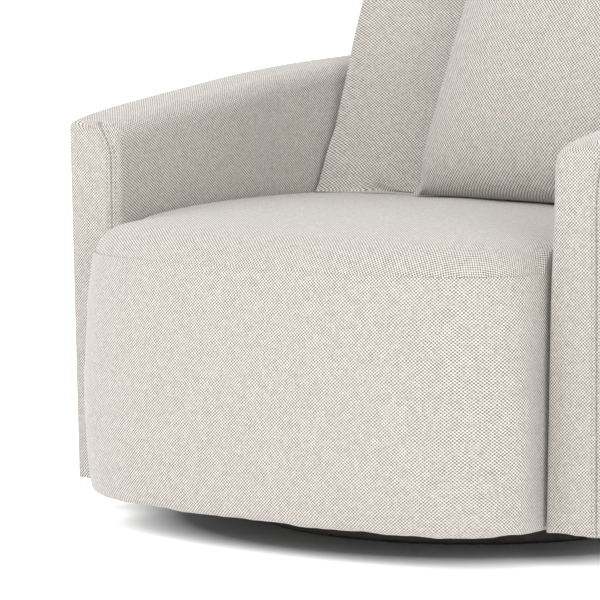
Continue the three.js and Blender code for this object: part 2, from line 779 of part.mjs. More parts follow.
function addSprings() {
  for (let i = 0; i < SPRING_COUNT; i += 1) {
    const x = (i - (SPRING_COUNT - 1) / 2) * SPRING_SPACING;
    const from = frontRailInnerY(x) - SPRING_OVERLAP;
    const to = SEAT_REAR_RAIL_Y + SPRING_OVERLAP;
    const waves = Math.round((to - from) / SPRING_PITCH);
    const steps = waves * SPRING_STEPS;
    const points = Array.from({ length: steps + 1 }, (_, k) => {
      const share = k / steps;
      const swing = Math.sin(share * waves * 2 * Math.PI);
      return new THREE.Vector3(x + SPRING_WAVE * swing, mix(from, to, share), 0);
    });
    const section = new THREE.Shape(
      Array.from({ length: SPRING_SIDES }, (_, k) => {
        const angle = (k * 2 * Math.PI) / SPRING_SIDES;
        const radius = SPRING_WIRE / 2;
        return new THREE.Vector2(radius * Math.cos(angle), radius * Math.sin(angle));
      }),
    );
    const wire = new THREE.ExtrudeGeometry(section, {
      steps,
      extrudePath: new THREE.CatmullRomCurve3(points),
      bevelEnabled: false,
    }).translate(0, 0, SEAT_SUPPORT_LEVEL + SPRING_WIRE / 2 + GAP);
    addPart(`seat_spring_${i + 1}`, wire, BLACK_STEEL);
  }
}

// ---------------------------------------------------------------- plinth and swivel
const LOWER_PLATE_TOP = PLINTH_TOP + GAP + BEARING_PLATE_THICKNESS;
const BALL_CENTRE = LOWER_PLATE_TOP + BALL_CLEARANCE + BALL_RADIUS;
const UPPER_PLATE_BOTTOM = BALL_CENTRE + BALL_RADIUS + BALL_CLEARANCE;
const UPPER_PLATE_TOP = UPPER_PLATE_BOTTOM + BEARING_PLATE_THICKNESS;

function addBase() {
  const felt = turned([
    [0, 0],
    [FELT_RADIUS, 0],
    [FELT_RADIUS, FELT_THICKNESS],
    [0, FELT_THICKNESS],
  ]);
  addPart("floor_felt", felt, FELT);
  const bottom = FELT_THICKNESS + GAP;
  const hole = PIVOT_RADIUS + PIVOT_CLEARANCE;
  const recess = PIVOT_HEAD_RADIUS + RECESS_CLEARANCE;
  const recessTop = bottom + PIVOT_HEAD_HEIGHT + RECESS_CLEARANCE;
  const plinth = turnedRing(
    [
      [recess, bottom],
      [PLINTH_RADIUS - PLINTH_EDGE / 2, bottom],
      [PLINTH_RADIUS, bottom + PLINTH_EDGE / 2],
      [PLINTH_RADIUS, PLINTH_TOP - PLINTH_EDGE],
      [PLINTH_RADIUS - PLINTH_EDGE, PLINTH_TOP],
      [hole, PLINTH_TOP],
      [hole, recessTop],
      [recess, recessTop],
    ],
    60,
  );
  addPart("base_plinth", plinth, PLINTH_STAIN);
  const lowerPlate = turnedRing([
    [hole, PLINTH_TOP + GAP],
    [LOWER_PLATE_RADIUS, PLINTH_TOP + GAP],
    [LOWER_PLATE_RADIUS, LOWER_PLATE_TOP],
    [hole, LOWER_PLATE_TOP],
  ]);
  addPart("bearing_lower_plate", lowerPlate, STEEL);
  const headBottom = bottom + GAP;
  const bolt = turned(
    [
      [0, headBottom],
      [PIVOT_HEAD_RADIUS, headBottom],
      [PIVOT_HEAD_RADIUS, headBottom + PIVOT_HEAD_HEIGHT],
      [PIVOT_RADIUS, headBottom + PIVOT_HEAD_HEIGHT],
      [PIVOT_RADIUS, UPPER_PLATE_TOP + PIVOT_NUT_HEIGHT + PIVOT_BOLT_END],
      [0, UPPER_PLATE_TOP + PIVOT_NUT_HEIGHT + PIVOT_BOLT_END],
    ],
    24,
  );
  addPart("pivot_bolt", bolt, BLACK_STEEL);
}

function addBallCage() {
  const half = CAGE_WIDTH / 2;
  const ring = turnedRing(
    [
      [BALL_RING_RADIUS - half, BALL_CENTRE - CAGE_THICKNESS / 2],
      [BALL_RING_RADIUS + half, BALL_CENTRE - CAGE_THICKNESS / 2],
      [BALL_RING_RADIUS + half, BALL_CENTRE + CAGE_THICKNESS / 2],
      [BALL_RING_RADIUS - half, BALL_CENTRE + CAGE_THICKNESS / 2],
    ],
    24,
  );
  let solid = manifoldOf(ring);
  for (let i = 0; i < BALL_COUNT; i += 1) {
    const angle = ((i + 0.5) / BALL_COUNT) * 2 * Math.PI;
    const ball = new THREE.SphereGeometry(BALL_RADIUS, 8, 5).translate(
      BALL_RING_RADIUS * Math.cos(angle),
      BALL_RING_RADIUS * Math.sin(angle),
      BALL_CENTRE,
    );
    solid = solid.add(manifoldOf(ball));
  }
  addPart("ball_cage", geometryOf(solid), STEEL);
}

function addTurntable() {
  const shape = new THREE.Shape([
    new THREE.Vector2(-TURNTABLE_HALF, -TURNTABLE_HALF),
    new THREE.Vector2(TURNTABLE_HALF, -TURNTABLE_HALF),
    new THREE.Vector2(TURNTABLE_HALF, TURNTABLE_HALF),
    new THREE.Vector2(-TURNTABLE_HALF, TURNTABLE_HALF),
  ]);
  shape.holes.push(circleHole(0, 0, PIVOT_RADIUS + PIVOT_CLEARANCE));
  const plate = new THREE.ExtrudeGeometry(shape, {
    depth: BEARING_PLATE_THICKNESS,
    bevelEnabled: false,
    curveSegments: 24,
  }).translate(0, 0, UPPER_PLATE_BOTTOM);
  addPart("bearing_upper_plate", plate, STEEL);
  const hole = PIVOT_RADIUS + PIVOT_CLEARANCE;
  const nutBottom = UPPER_PLATE_TOP + GAP;
  const nut = turnedRing(
    [
      [hole, nutBottom],
      [PIVOT_NUT_RADIUS, nutBottom],
      [PIVOT_NUT_RADIUS, nutBottom + PIVOT_NUT_HEIGHT],
      [hole, nutBottom + PIVOT_NUT_HEIGHT],
    ],
    24,
  );
  addPart("pivot_nut", nut, BLACK_STEEL);
}

// ---------------------------------------------------------------- glide linkage
const LINK_TOP_Z = LINK_BOTTOM_Z + LINK_LENGTH;
const HANGER_INNER_X = TURNTABLE_HALF - HANGER_THICKNESS;
const LINK_INNER_X = TURNTABLE_HALF + LINK_GAP;
const RAIL_INNER_X = LINK_INNER_X + LINK_THICKNESS + LINK_GAP;
const GLIDE_TRAVEL = LINK_LENGTH * Math.sin(radians(LINK_SWING));
const PIN_HOLE = PIN_RADIUS + PIN_CLEARANCE;
const RAIL_BOTTOM = LINK_BOTTOM_Z - LINK_WIDTH / 2 - RAIL_UNDER_LINK;
const RAIL_TOP = RAIL_BOTTOM + RAIL_HEIGHT;

// Turns a piece made for the right-hand side into the one for the given side.
function onSide(geometry, side) {
  return side > 0 ? geometry : geometry.rotateZ(Math.PI);
}

function hangerBracket() {
  const bottom = UPPER_PLATE_TOP + GAP;
  const top = LINK_TOP_Z + LINK_WIDTH;
  const shoulder = LINK_PIVOT_Y - HANGER_EAR_INNER;
  const web = new THREE.Shape([
    new THREE.Vector2(-HANGER_HALF_LENGTH, bottom),
    new THREE.Vector2(HANGER_HALF_LENGTH, bottom),
    new THREE.Vector2(HANGER_HALF_LENGTH, top),
    new THREE.Vector2(shoulder, top),
    new THREE.Vector2(shoulder - HANGER_EAR_SLOPE, top - HANGER_WAIST_DROP),
    new THREE.Vector2(HANGER_EAR_SLOPE - shoulder, top - HANGER_WAIST_DROP),
    new THREE.Vector2(-shoulder, top),
    new THREE.Vector2(-HANGER_HALF_LENGTH, top),
  ]);
  for (const y of [-LINK_PIVOT_Y, LINK_PIVOT_Y]) web.holes.push(circleHole(y, LINK_TOP_Z, PIN_HOLE));
  const plate = manifoldOf(plateAcrossX(web, HANGER_INNER_X, HANGER_THICKNESS));
  const flange = boxBetween(
    [HANGER_INNER_X - HANGER_FLANGE, -HANGER_HALF_LENGTH, bottom],
    [HANGER_INNER_X + 1, HANGER_HALF_LENGTH, bottom + HANGER_THICKNESS],
  );
  return geometryOf(plate.add(manifoldOf(flange)));
}

function linkBar(y) {
  const half = LINK_WIDTH / 2;
  const shape = new THREE.Shape();
  shape.absarc(y, LINK_TOP_Z, half, 0, Math.PI, false);
  shape.absarc(y, LINK_BOTTOM_Z, half, Math.PI, 2 * Math.PI, false);
  shape.holes.push(circleHole(y, LINK_TOP_Z, PIN_HOLE), circleHole(y, LINK_BOTTOM_Z, PIN_HOLE));
  return plateAcrossX(shape, LINK_INNER_X, LINK_THICKNESS);
}

// A headed pin along X whose shank runs from one x to another; the head is at the start.
function headedPin(from, to, y, z) {
  const away = Math.sign(to - from);
  const length = Math.abs(to - from);
  const profile = [
    [0, -PIN_HEAD_HEIGHT],
    [PIN_HEAD_RADIUS, -PIN_HEAD_HEIGHT],
    [PIN_HEAD_RADIUS, 0],
    [PIN_RADIUS, 0],
    [PIN_RADIUS, length],
    [0, length],
  ];
  const pin = turned(profile, 14).rotateY((away * Math.PI) / 2);
  return pin.translate(from, y, z);
}

function glideRail() {
  const half = crossRailCentre() + CROSS_RAIL_WIDTH / 2;
  const web = new THREE.Shape([
    new THREE.Vector2(-half, RAIL_TOP - RAIL_END_HEIGHT),
    new THREE.Vector2(-LINK_PIVOT_Y - RAIL_TOE, RAIL_BOTTOM),
    new THREE.Vector2(LINK_PIVOT_Y + RAIL_TOE, RAIL_BOTTOM),
    new THREE.Vector2(half, RAIL_TOP - RAIL_END_HEIGHT),
    new THREE.Vector2(half, RAIL_TOP),
    new THREE.Vector2(-half, RAIL_TOP),
  ]);
  for (const y of [-LINK_PIVOT_Y, LINK_PIVOT_Y]) {
    web.holes.push(circleHole(y, LINK_BOTTOM_Z, PIN_HOLE));
  }
  const flange = new THREE.Shape([
    new THREE.Vector2(RAIL_INNER_X + 1, -half),
    new THREE.Vector2(RAIL_INNER_X + RAIL_FLANGE, -half),
    new THREE.Vector2(RAIL_INNER_X + RAIL_FLANGE, half),
    new THREE.Vector2(RAIL_INNER_X + 1, half),
  ]);
  for (const y of [-crossRailCentre(), crossRailCentre()]) {
    flange.holes.push(circleHole(railBoltX(), y, BOLT_RADIUS + GAP));
  }
  const plate = new THREE.ExtrudeGeometry(flange, {
    depth: RAIL_THICKNESS,
    bevelEnabled: false,
    curveSegments: 8,
  }).translate(0, 0, RAIL_TOP - RAIL_THICKNESS);
  const upright = manifoldOf(plateAcrossX(web, RAIL_INNER_X, RAIL_THICKNESS));
  return geometryOf(upright.add(manifoldOf(plate)));
}

const railBoltX = () => RAIL_INNER_X + RAIL_THICKNESS + (RAIL_FLANGE - RAIL_THICKNESS) / 2;

// The cross rails stand where the bumpers stop the glide.
function crossRailCentre() {
  const bumperEnd = HANGER_HALF_LENGTH + BUMPER_LENGTH;
  return bumperEnd + GLIDE_TRAVEL + BUMPER_CLEARANCE + CROSS_RAIL_WIDTH / 2;
}

function addLinkage() {
  const places = [
    ["front", -LINK_PIVOT_Y],
    ["rear", LINK_PIVOT_Y],
  ];
  for (const side of [-1, 1]) {
    const sideName = side < 0 ? "left" : "right";
    addPart(`hanger_${sideName}`, onSide(hangerBracket(), side), BLACK_STEEL);
    addPart(`glide_rail_${sideName}`, onSide(glideRail(), side), BLACK_STEEL);
    for (const [place, y] of places) {
      const name = `${place}_${sideName}`;
      const across = side * y; // the left-hand pieces are turned half round
      const linkEnd = LINK_INNER_X + LINK_THICKNESS;
      addPart(`link_${name}`, onSide(linkBar(across), side), STEEL);
      const topPin = headedPin(HANGER_INNER_X - GAP, linkEnd + GAP, across, LINK_TOP_Z);
      addPart(`top_pin_${name}`, onSide(topPin, side), STEEL);
      const railFace = RAIL_INNER_X + RAIL_THICKNESS + GAP;
      const bottomPin = headedPin(railFace, LINK_INNER_X - GAP, across, LINK_BOTTOM_Z);
      addPart(`bottom_pin_${name}`, onSide(bottomPin, side), STEEL);
      addPart(`rail_bolt_${name}`, onSide(railBolt(across), side), STEEL);
    }
  }
}

function railBolt(across) {
  const y = Math.sign(across) * crossRailCentre();
  const under = RAIL_TOP - RAIL_THICKNESS - GAP;
  return turned(
    [
      [0, under - BOLT_HEAD_HEIGHT],
      [BOLT_HEAD_RADIUS, under - BOLT_HEAD_HEIGHT],
      [BOLT_HEAD_RADIUS, under],
      [BOLT_RADIUS, under],
      [BOLT_RADIUS, under + BOLT_LENGTH],
      [0, under + BOLT_LENGTH],
    ],
    16,
  ).translate(railBoltX(), y, 0);
}

function addTiesAndCrossRails() {
  const reach = HANGER_INNER_X - GAP;
  const tieTop = LINK_TOP_Z - TIE_DROP;
  for (const [place, sign] of [
    ["front", -1],
    ["rear", 1],
  ]) {
    const tieFaces = [sign * (HANGER_HALF_LENGTH - HANGER_THICKNESS), sign * HANGER_HALF_LENGTH];
    const tie = boxBetween(
      [-reach, Math.min(...tieFaces), tieTop - TIE_HEIGHT],
      [reach, Math.max(...tieFaces), tieTop],
    );
    addPart(`hanger_tie_${place}`, tie, BLACK_STEEL);
    const bumper = turned(
      [
        [0, GAP],
        [BUMPER_RADIUS, GAP],
        [BUMPER_RADIUS, BUMPER_LENGTH - BUMPER_NOSE],
        [BUMPER_RADIUS - BUMPER_NOSE, BUMPER_LENGTH],
        [0, BUMPER_LENGTH],
      ],
      20,
    )
      .rotateX((-sign * Math.PI) / 2)
      .translate(0, sign * HANGER_HALF_LENGTH, tieTop - TIE_HEIGHT / 2);
    addPart(`stop_bumper_${place}`, bumper, RUBBER);
    addPart(`frame_cross_rail_${place}`, crossRail(sign), WOOD);
  }
}

// A cross rail with blind holes for the two rail bolts.
function crossRail(sign) {
  const centre = sign * crossRailCentre();
  const half = frameHalfAt(centre + CROSS_RAIL_WIDTH / 2) + CROSS_RAIL_BEARING;
  const bottom = RAIL_TOP + GAP;
  const rail = boxBetween(
    [-half, centre - CROSS_RAIL_WIDTH / 2, bottom],
    [half, centre + CROSS_RAIL_WIDTH / 2, bottom + CROSS_RAIL_HEIGHT],
  );
  let solid = manifoldOf(rail);
  for (const side of [-1, 1]) {
    const drill = turned(
      [
        [0, bottom - DRILL_OVERRUN],
        [BOLT_RADIUS + GAP, bottom - DRILL_OVERRUN],
        [BOLT_RADIUS + GAP, bottom + BOLT_LENGTH],
        [0, bottom + BOLT_LENGTH],
      ],
      16,
    ).translate(side * railBoltX(), centre, 0);
    solid = solid.subtract(manifoldOf(drill));
  }
  return geometryOf(solid);
}

// Under the seat and the shell's frame; the opening clears the mechanism over its travel.
function addDustCover() {
  const front = insetOutline(seatOutline, RAIL_OUTER).slice(0, FRONT_STEPS + 1);
  const behindBand = ARM_FRONT_Y + FRONT_BAND_RETURN + FACET_ROOM;
  const shell = [];
  const from = distanceAtDepth(behindBand);
  for (let i = 0; i <= DUST_COVER_STEPS; i += 1) {
    const station = shellStation(mix(SHELL_LENGTH - from, from, i / DUST_COVER_STEPS));
    const point = shellPoint(station, OUTER_COVER_THICKNESS + FACET_ROOM, CHAIR_BOTTOM);
    shell.push(new THREE.Vector2(point.x, point.y));
  }
  const inner = front[0].x;
  const outline = [
    ...front,
    new THREE.Vector2(-inner, behindBand),
    ...shell,
    new THREE.Vector2(inner, behindBand),
  ];
  const halfX = TURNTABLE_HALF + DUST_OPENING_MARGIN;
  const halfY = TURNTABLE_HALF + GLIDE_TRAVEL + DUST_OPENING_MARGIN;
  const hole = [
    new THREE.Vector2(-halfX, -halfY),
    new THREE.Vector2(-halfX, halfY),
    new THREE.Vector2(halfX, halfY),
    new THREE.Vector2(halfX, -halfY),
  ];
  addPart("dust_cover", extrudedOutline(outline, DUST_COVER_BOTTOM, DUST_COVER_THICKNESS, hole), FELT);
}

// ---------------------------------------------------------------- loose cushions
const CUSHION_FOOT = SEAT_CROWN_HEIGHT + SOFT_REST;
const LEAN_DIRECTION = new THREE.Vector3(0, Math.sin(radians(BACK_LEAN)), Math.cos(radians(BACK_LEAN)));
const CUSHION_STEPS = 14;

// The cushion in plan at its foot: its back follows the shell, its front wraps a little.
function cushionOutline() {
  const rear = [];
  const from = distanceAtDepth(CUSHION_SIDE_Y);
  const to = SHELL_LENGTH - from;
  for (let i = 0; i <= CUSHION_STEPS; i += 1) {
    const station = shellStation(mix(to, from, i / CUSHION_STEPS));
    const inset = wallThickness(station, CUSHION_FOOT) + CUSHION_CLEARANCE;
    const point = shellPoint(station, inset, CUSHION_FOOT);
    rear.push(new THREE.Vector2(point.x, point.y));
  }
  const half = rear[0].x;
  const front = rear
    .map((point) => {
      const x = point.x * CUSHION_FRONT_SHARE;
      const wrap = CUSHION_FRONT_WRAP * (Math.abs(x) / half) ** CUSHION_WRAP_POWER;
      return new THREE.Vector2(x, CUSHION_FRONT_Y - wrap);
    })
    .reverse();
  return [...rear, ...front];
}

// Draws a cushion outline in towards the line midway between its front and back.
function slimmed(outline, share) {
  const last = outline.length - 1;
  return outline.map((point, i) => {
    const middle = point.clone().add(outline[last - i]).multiplyScalar(0.5);
    return point.clone().lerp(middle, share);
  });
}

function backCushion() {
  const outline = cushionOutline();
  const layers = [
    ...CUSHION_ROUNDING,
    [CUSHION_HEIGHT / 2, 0],
    ...CUSHION_TOP_ROUNDING.map(([down, share]) => [CUSHION_HEIGHT - down, share]),
  ];
  const rings = layers.map(([up, share]) =>
    slimmed(outline, share).map((point) =>
      new THREE.Vector3(point.x, point.y, CUSHION_FOOT).addScaledVector(LEAN_DIRECTION, up),
    ),
  );
  return closedStack(rings);
}

// A square pillow, crowned front and rear, drawn flat and then stood up and leaned.
function throwPillow() {
  const cells = PILLOW_CELLS;
  const half = PILLOW_SIZE / 2;
  const points = [];
  const triangles = [];
  const index = (side, i, j) => side * (cells + 1) ** 2 + i * (cells + 1) + j;
  for (const face of [1, -1]) {
    for (let i = 0; i <= cells; i += 1) {
      for (let j = 0; j <= cells; j += 1) {
        const u = (2 * i) / cells - 1;
        const v = (2 * j) / cells - 1;
        const flatness = (1 - u ** PILLOW_SQUARENESS) * (1 - v ** PILLOW_SQUARENESS);
        const fill = flatness ** PILLOW_FULLNESS;
        const crown = face > 0 ? PILLOW_FRONT_CROWN : PILLOW_REAR_CROWN;
        points.push(
          new THREE.Vector3(
            u * half * (1 - PILLOW_EAR_PULL * (1 - v * v)),
            v * half * (1 - PILLOW_EAR_PULL * (1 - u * u)),
            face * (PILLOW_EDGE + (crown - PILLOW_EDGE) * fill),
          ),
        );
      }
    }
  }
  for (let i = 0; i < cells; i += 1) {
    for (let j = 0; j < cells; j += 1) {
      for (const side of [0, 1]) {
        const quad = [
          index(side, i, j),
          index(side, i + 1, j),
          index(side, i + 1, j + 1),
          index(side, i, j + 1),
        ];
        if (side === 1) quad.reverse();
        triangles.push([quad[0], quad[1], quad[2]], [quad[0], quad[2], quad[3]]);
      }
    }
  }
  const rim = [
    ...Array.from({ length: cells }, (_, k) => [k, 0]),
    ...Array.from({ length: cells }, (_, k) => [cells, k]),
    ...Array.from({ length: cells }, (_, k) => [cells - k, cells]),
    ...Array.from({ length: cells }, (_, k) => [0, cells - k]),
  ];
  rim.forEach(([i, j], k) => {
    const [nextI, nextJ] = rim[(k + 1) % rim.length];
    const [a, b] = [index(0, i, j), index(0, nextI, nextJ)];
    const [c, d] = [index(1, i, j), index(1, nextI, nextJ)];
    triangles.push([a, c, d], [a, d, b]);
  });
  return closedGeometry(points, triangles)
    .translate(0, half, 0)
    .rotateX(Math.PI / 2 - radians(PILLOW_LEAN))
    .rotateZ(radians(PILLOW_TURN))
    .translate(PILLOW_CENTRE_X, PILLOW_FOOT_Y, CUSHION_FOOT + PILLOW_EDGE);
}

// ---------------------------------------------------------------- assembly
addBase();
addBallCage();
addTurntable();
addLinkage();
addTiesAndCrossRails();
addShellFrame();
addSeat();
addDustCover();
addShell();
addArmGlides();
addPart("back_cushion", backCushion(), FABRIC);
addPart("throw_pillow", throwPillow(), FABRIC);

export default chair;
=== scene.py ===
import math

import bmesh
import bpy
import numpy as np
from mathutils import Matrix, Vector


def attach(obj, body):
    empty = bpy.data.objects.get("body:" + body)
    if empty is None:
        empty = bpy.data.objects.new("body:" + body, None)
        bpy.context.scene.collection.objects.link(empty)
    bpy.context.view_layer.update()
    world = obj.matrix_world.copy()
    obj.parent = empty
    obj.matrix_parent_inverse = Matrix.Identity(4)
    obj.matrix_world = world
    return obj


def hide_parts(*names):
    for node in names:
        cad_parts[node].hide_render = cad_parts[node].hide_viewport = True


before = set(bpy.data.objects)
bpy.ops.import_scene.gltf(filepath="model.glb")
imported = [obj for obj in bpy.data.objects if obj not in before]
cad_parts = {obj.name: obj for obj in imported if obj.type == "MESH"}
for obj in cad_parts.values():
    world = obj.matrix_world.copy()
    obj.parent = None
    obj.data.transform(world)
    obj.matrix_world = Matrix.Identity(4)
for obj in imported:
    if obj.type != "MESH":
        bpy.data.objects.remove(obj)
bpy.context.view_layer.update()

# Everything below is worked out in millimetres and made in metres.
MM = 0.001
SEED = 20
SHARP_ANGLE = 50  # degrees; edges that turn more than this are not shaded smooth

# ------------ sizes, as the CAD has them
CHAIR_BOTTOM = 46
ARM_OUTER_HALF = 450
ARM_FRONT_Y = -328
ARM_STRAIGHT_END_Y = -40
SHELL_REAR_Y = 378
SHELL_ROUNDNESS = 2.3
SIDE_FLARE = 0.0286
BACK_FLARE = 0.085
ARM_TOP_THICKNESS = 93
ARM_THICKENING = 0.0141
BACK_TOP_THICKNESS = 62
BACK_LEAN = math.radians(18)
ARM_FRONT_HEIGHT = 557
ARM_SLOPE = 0.135
ARM_CROWN = 8
ARM_CROWN_LENGTH = 50
BACK_RISE = 40
BACK_RISE_START_Y = 215
OUTER_EDGE_RADIUS = 10
INNER_EDGE_RADIUS = 30
INNER_EDGE_DROP = 4
FRONT_PANEL_THICKNESS = 14
PANEL_GAP = 0.3
CLOTH_GAP = 0.05  # between two cloth edges sewn to each other
OUTER_COVER_THICKNESS = 4
OUTER_COVER_DROP = 12
INNER_PAD_THICKNESS = 22
INNER_PAD_FOOT = 345
TOP_PAD_DEPTH = 42
SEAT_LEVEL = 440
SEAT_SUPPORT_LEVEL = 340
SEAT_GAP = 5
SEAT_DEPTH_BULGE = 161
SEAT_ROUNDNESS = 2.95
SEAT_SEAM_HEIGHT = 384
SEAT_EDGE_RISE = 34
SEAT_EDGE_LENGTH = 12
SEAT_CROWN_RISE = 26
SEAT_CROWN_LENGTH = 100
SEAT_SIDE_DROP = 5
SEAT_TOP_THICKNESS = 6
FRONT_BAND_THICKNESS = 24
FRONT_BAND_BULGE = 14
FRONT_BAND_RETURN = 28
CUSHION_HEIGHT = 446
CUSHION_CLEARANCE = 4
CUSHION_SIDE_Y = 108
CUSHION_FRONT_Y = 128
CUSHION_FRONT_WRAP = 38
CUSHION_FRONT_SHARE = 0.92
CUSHION_FOOT = 446
PILLOW_SIZE = 470
PILLOW_CENTRE_X = 75
PILLOW_FOOT_Y = 56
PILLOW_LEAN = math.radians(22.5)
PILLOW_TURN = math.radians(-6)
PILLOW_FRONT_CROWN = 84
PILLOW_REAR_CROWN = 26
PILLOW_FOOT = 449

# ------------ camera
CAMERA_SIDE = math.radians(35.78)  # round from the chair's front, to its right
CAMERA_DISTANCE = 5.32188
CAMERA_HEIGHT = 0.8135165
CAMERA_PITCH = 0.09546
CAMERA_TURN = 0.66885
CAMERA_LENS = 224.82
SENSOR_WIDTH = 36


def add_camera():
    data = bpy.data.cameras.new("camera")
    data.sensor_width = SENSOR_WIDTH
    data.lens = CAMERA_LENS
    data.clip_start = 0.1
    data.clip_end = 300
    camera = bpy.data.objects.new("camera", data)
    bpy.context.scene.collection.objects.link(camera)
    across = CAMERA_DISTANCE * math.sin(CAMERA_SIDE)
    ahead = -CAMERA_DISTANCE * math.cos(CAMERA_SIDE)
    camera.location = (across, ahead, CAMERA_HEIGHT)
    camera.rotation_euler = (math.pi / 2 - CAMERA_PITCH, 0, CAMERA_TURN)
    bpy.context.scene.camera = camera


# ------------ small helpers
def smoothstep(value, low, high):
    share = np.clip((np.asarray(value, float) - low) / (high - low), 0, 1)
    return share * share * (3 - 2 * share)


def mix(a, b, share):
    return a + (b - a) * share


def ripple(distance, wavelength, seed):
    """A smooth, uneven wave from -1 to 1 along a distance, the same each time."""
    draw = np.random.RandomState(seed)
    total = np.zeros_like(np.asarray(distance, float))
    for octave in (1.0, 1.7, 2.9):
        phase = draw.uniform(0, 2 * math.pi)
        total = total + np.sin(distance * 2 * math.pi * octave / wavelength + phase) / octave
    return total / 1.9


def polyline_length(points):
    steps = np.linalg.norm(np.diff(points, axis=0), axis=1)
    return np.concatenate([[0], np.cumsum(steps)])


def resampled(points, count):
    """A polyline's points again, evenly spaced along it."""
    at = polyline_length(points)
    wanted = np.linspace(0, at[-1], count)
    return np.stack([np.interp(wanted, at, points[:, axis]) for axis in range(points.shape[1])], 1)


def nearest_on_line(points, line):
    """Distance of each point from a polyline in the plane, and how far along it that is."""
    nearest = np.full(len(points), np.inf)
    place = np.zeros(len(points))
    at = polyline_length(line)
    for k, (a, b) in enumerate(zip(line[:-1], line[1:])):
        along = b - a
        share = np.clip(((points - a) @ along) / max(along @ along, 1e-9), 0, 1)
        away = np.linalg.norm(points - a - share[:, None] * along, axis=1)
        closer = away < nearest
        nearest[closer] = away[closer]
        place[closer] = mix(at[k], at[k + 1], share[closer])
    return nearest, place


def distance_to_line(points, line):
    return nearest_on_line(points, line)[0]


def make_object(name, points, faces, weave=None):
    """A mesh piece from millimetre points. weave gives each vertex, or each face corner, its
    place on the flat cloth, in metres."""
    mesh = bpy.data.meshes.new(name)
    mesh.from_pydata((np.asarray(points) * MM).tolist(), [], [list(map(int, f)) for f in faces])
    mesh.validate()
    if weave is not None:
        set_weave(mesh, np.asarray(weave) * MM)
    mesh.polygons.foreach_set("use_smooth", [True] * len(mesh.polygons))
    mesh.set_sharp_from_angle(angle=math.radians(SHARP_ANGLE))
    made = bpy.data.objects.new(name, mesh)
    bpy.context.scene.collection.objects.link(made)
    return made


def set_weave(mesh, weave):
    corners = np.zeros(len(mesh.loops), int)
    mesh.loops.foreach_get("vertex_index", corners)
    flat = weave[corners] if len(weave) == len(mesh.vertices) else weave
    layer = mesh.uv_layers.new(name="weave")
    layer.uv.foreach_set("vector", flat.astype(np.float32).ravel())


def loop_faces(rings, count):
    """Quads between rings of points that each close on themselves, and the two end caps."""
    faces = []
    for r in range(rings - 1):
        for i in range(count):
            a, b = r * count + i, r * count + (i + 1) % count
            faces.append((a, b, b + count, a + count))
    faces.append(tuple(range(count))[::-1])
    faces.append(tuple(range((rings - 1) * count, rings * count)))
    return faces


def outward(made):
    """Turns a closed piece's faces to point out."""
    work = bmesh.new()
    work.from_mesh(made.data)
    bmesh.ops.recalc_face_normals(work, faces=work.faces)
    work.to_mesh(made.data)
    work.free()
    return made


# ------------ shell form
def shell_plan():
    """Dense points of the shell's outer face in plan, and their distances along it."""
    straight = 0.2
    share = np.linspace(0, 1, 6001)
    along = np.minimum(share, 1 - share)
    side = np.where(share < 0.5, -1.0, 1.0)
    angle = np.clip((along - straight) / (0.5 - straight), 0, 1) * math.pi / 2
    power = 2 / SHELL_ROUNDNESS
    x = side * ARM_OUTER_HALF * np.cos(angle) ** power
    round_y = ARM_STRAIGHT_END_Y + (SHELL_REAR_Y - ARM_STRAIGHT_END_Y) * np.sin(angle) ** power
    straight_y = mix(ARM_FRONT_Y, ARM_STRAIGHT_END_Y, along / straight)
    points = np.stack([x, np.where(along < straight, straight_y, round_y)], 1)
    return points, polyline_length(points)


PLAN, PLAN_AT = shell_plan()
SHELL_LENGTH = PLAN_AT[-1]


def smoothed_normals(step=2.0):
    before = plan_point(np.clip(PLAN_AT - step, 0, SHELL_LENGTH))
    after = plan_point(np.clip(PLAN_AT + step, 0, SHELL_LENGTH))
    tangent = after - before
    tangent /= np.linalg.norm(tangent, axis=1, keepdims=True)
    return np.stack([-tangent[:, 1], tangent[:, 0]], 1)


def plan_point(distance):
    return np.stack([np.interp(distance, PLAN_AT, PLAN[:, axis]) for axis in (0, 1)], -1)


PLAN_NORMAL = smoothed_normals()


def stations(distance):
    """What a section needs at distances along the shell."""
    point = plan_point(distance)
    normal = np.stack([np.interp(distance, PLAN_AT, PLAN_NORMAL[:, k]) for k in (0, 1)], -1)
    normal /= np.linalg.norm(normal, axis=-1, keepdims=True)
    y = point[..., 1]
    crown = ARM_CROWN * (1 - np.exp(-(y - ARM_FRONT_Y) / ARM_CROWN_LENGTH))
    rise = BACK_RISE * smoothstep(y, BACK_RISE_START_Y, SHELL_REAR_Y)
    crest = ARM_FRONT_HEIGHT + ARM_SLOPE * (y - ARM_FRONT_Y) + crown + rise
    return {"at": distance, "point": point, "normal": normal,
            "back": np.maximum(normal[..., 1], 0), "crest": crest}


def wall_thickness(st, z):
    top = mix(ARM_TOP_THICKNESS, BACK_TOP_THICKNESS, st["back"])
    lean = st["back"] * (math.tan(BACK_LEAN) + ARM_THICKENING - BACK_FLARE)
    leaning = np.maximum(st["crest"] - np.maximum(z, SEAT_LEVEL), 0) * lean
    return top - (st["crest"] - z) * ARM_THICKENING + leaning


def shell_points(st, inset, z):
    """Points of the shell: inset is measured inward from the outer face at that height."""
    flare = (z - CHAIR_BOTTOM) * mix(SIDE_FLARE, BACK_FLARE, st["back"])
    out = flare - inset
    x = st["point"][..., 0] + st["normal"][..., 0] * out
    y = st["point"][..., 1] + st["normal"][..., 1] * out
    return np.stack(np.broadcast_arrays(x, y, z), -1)


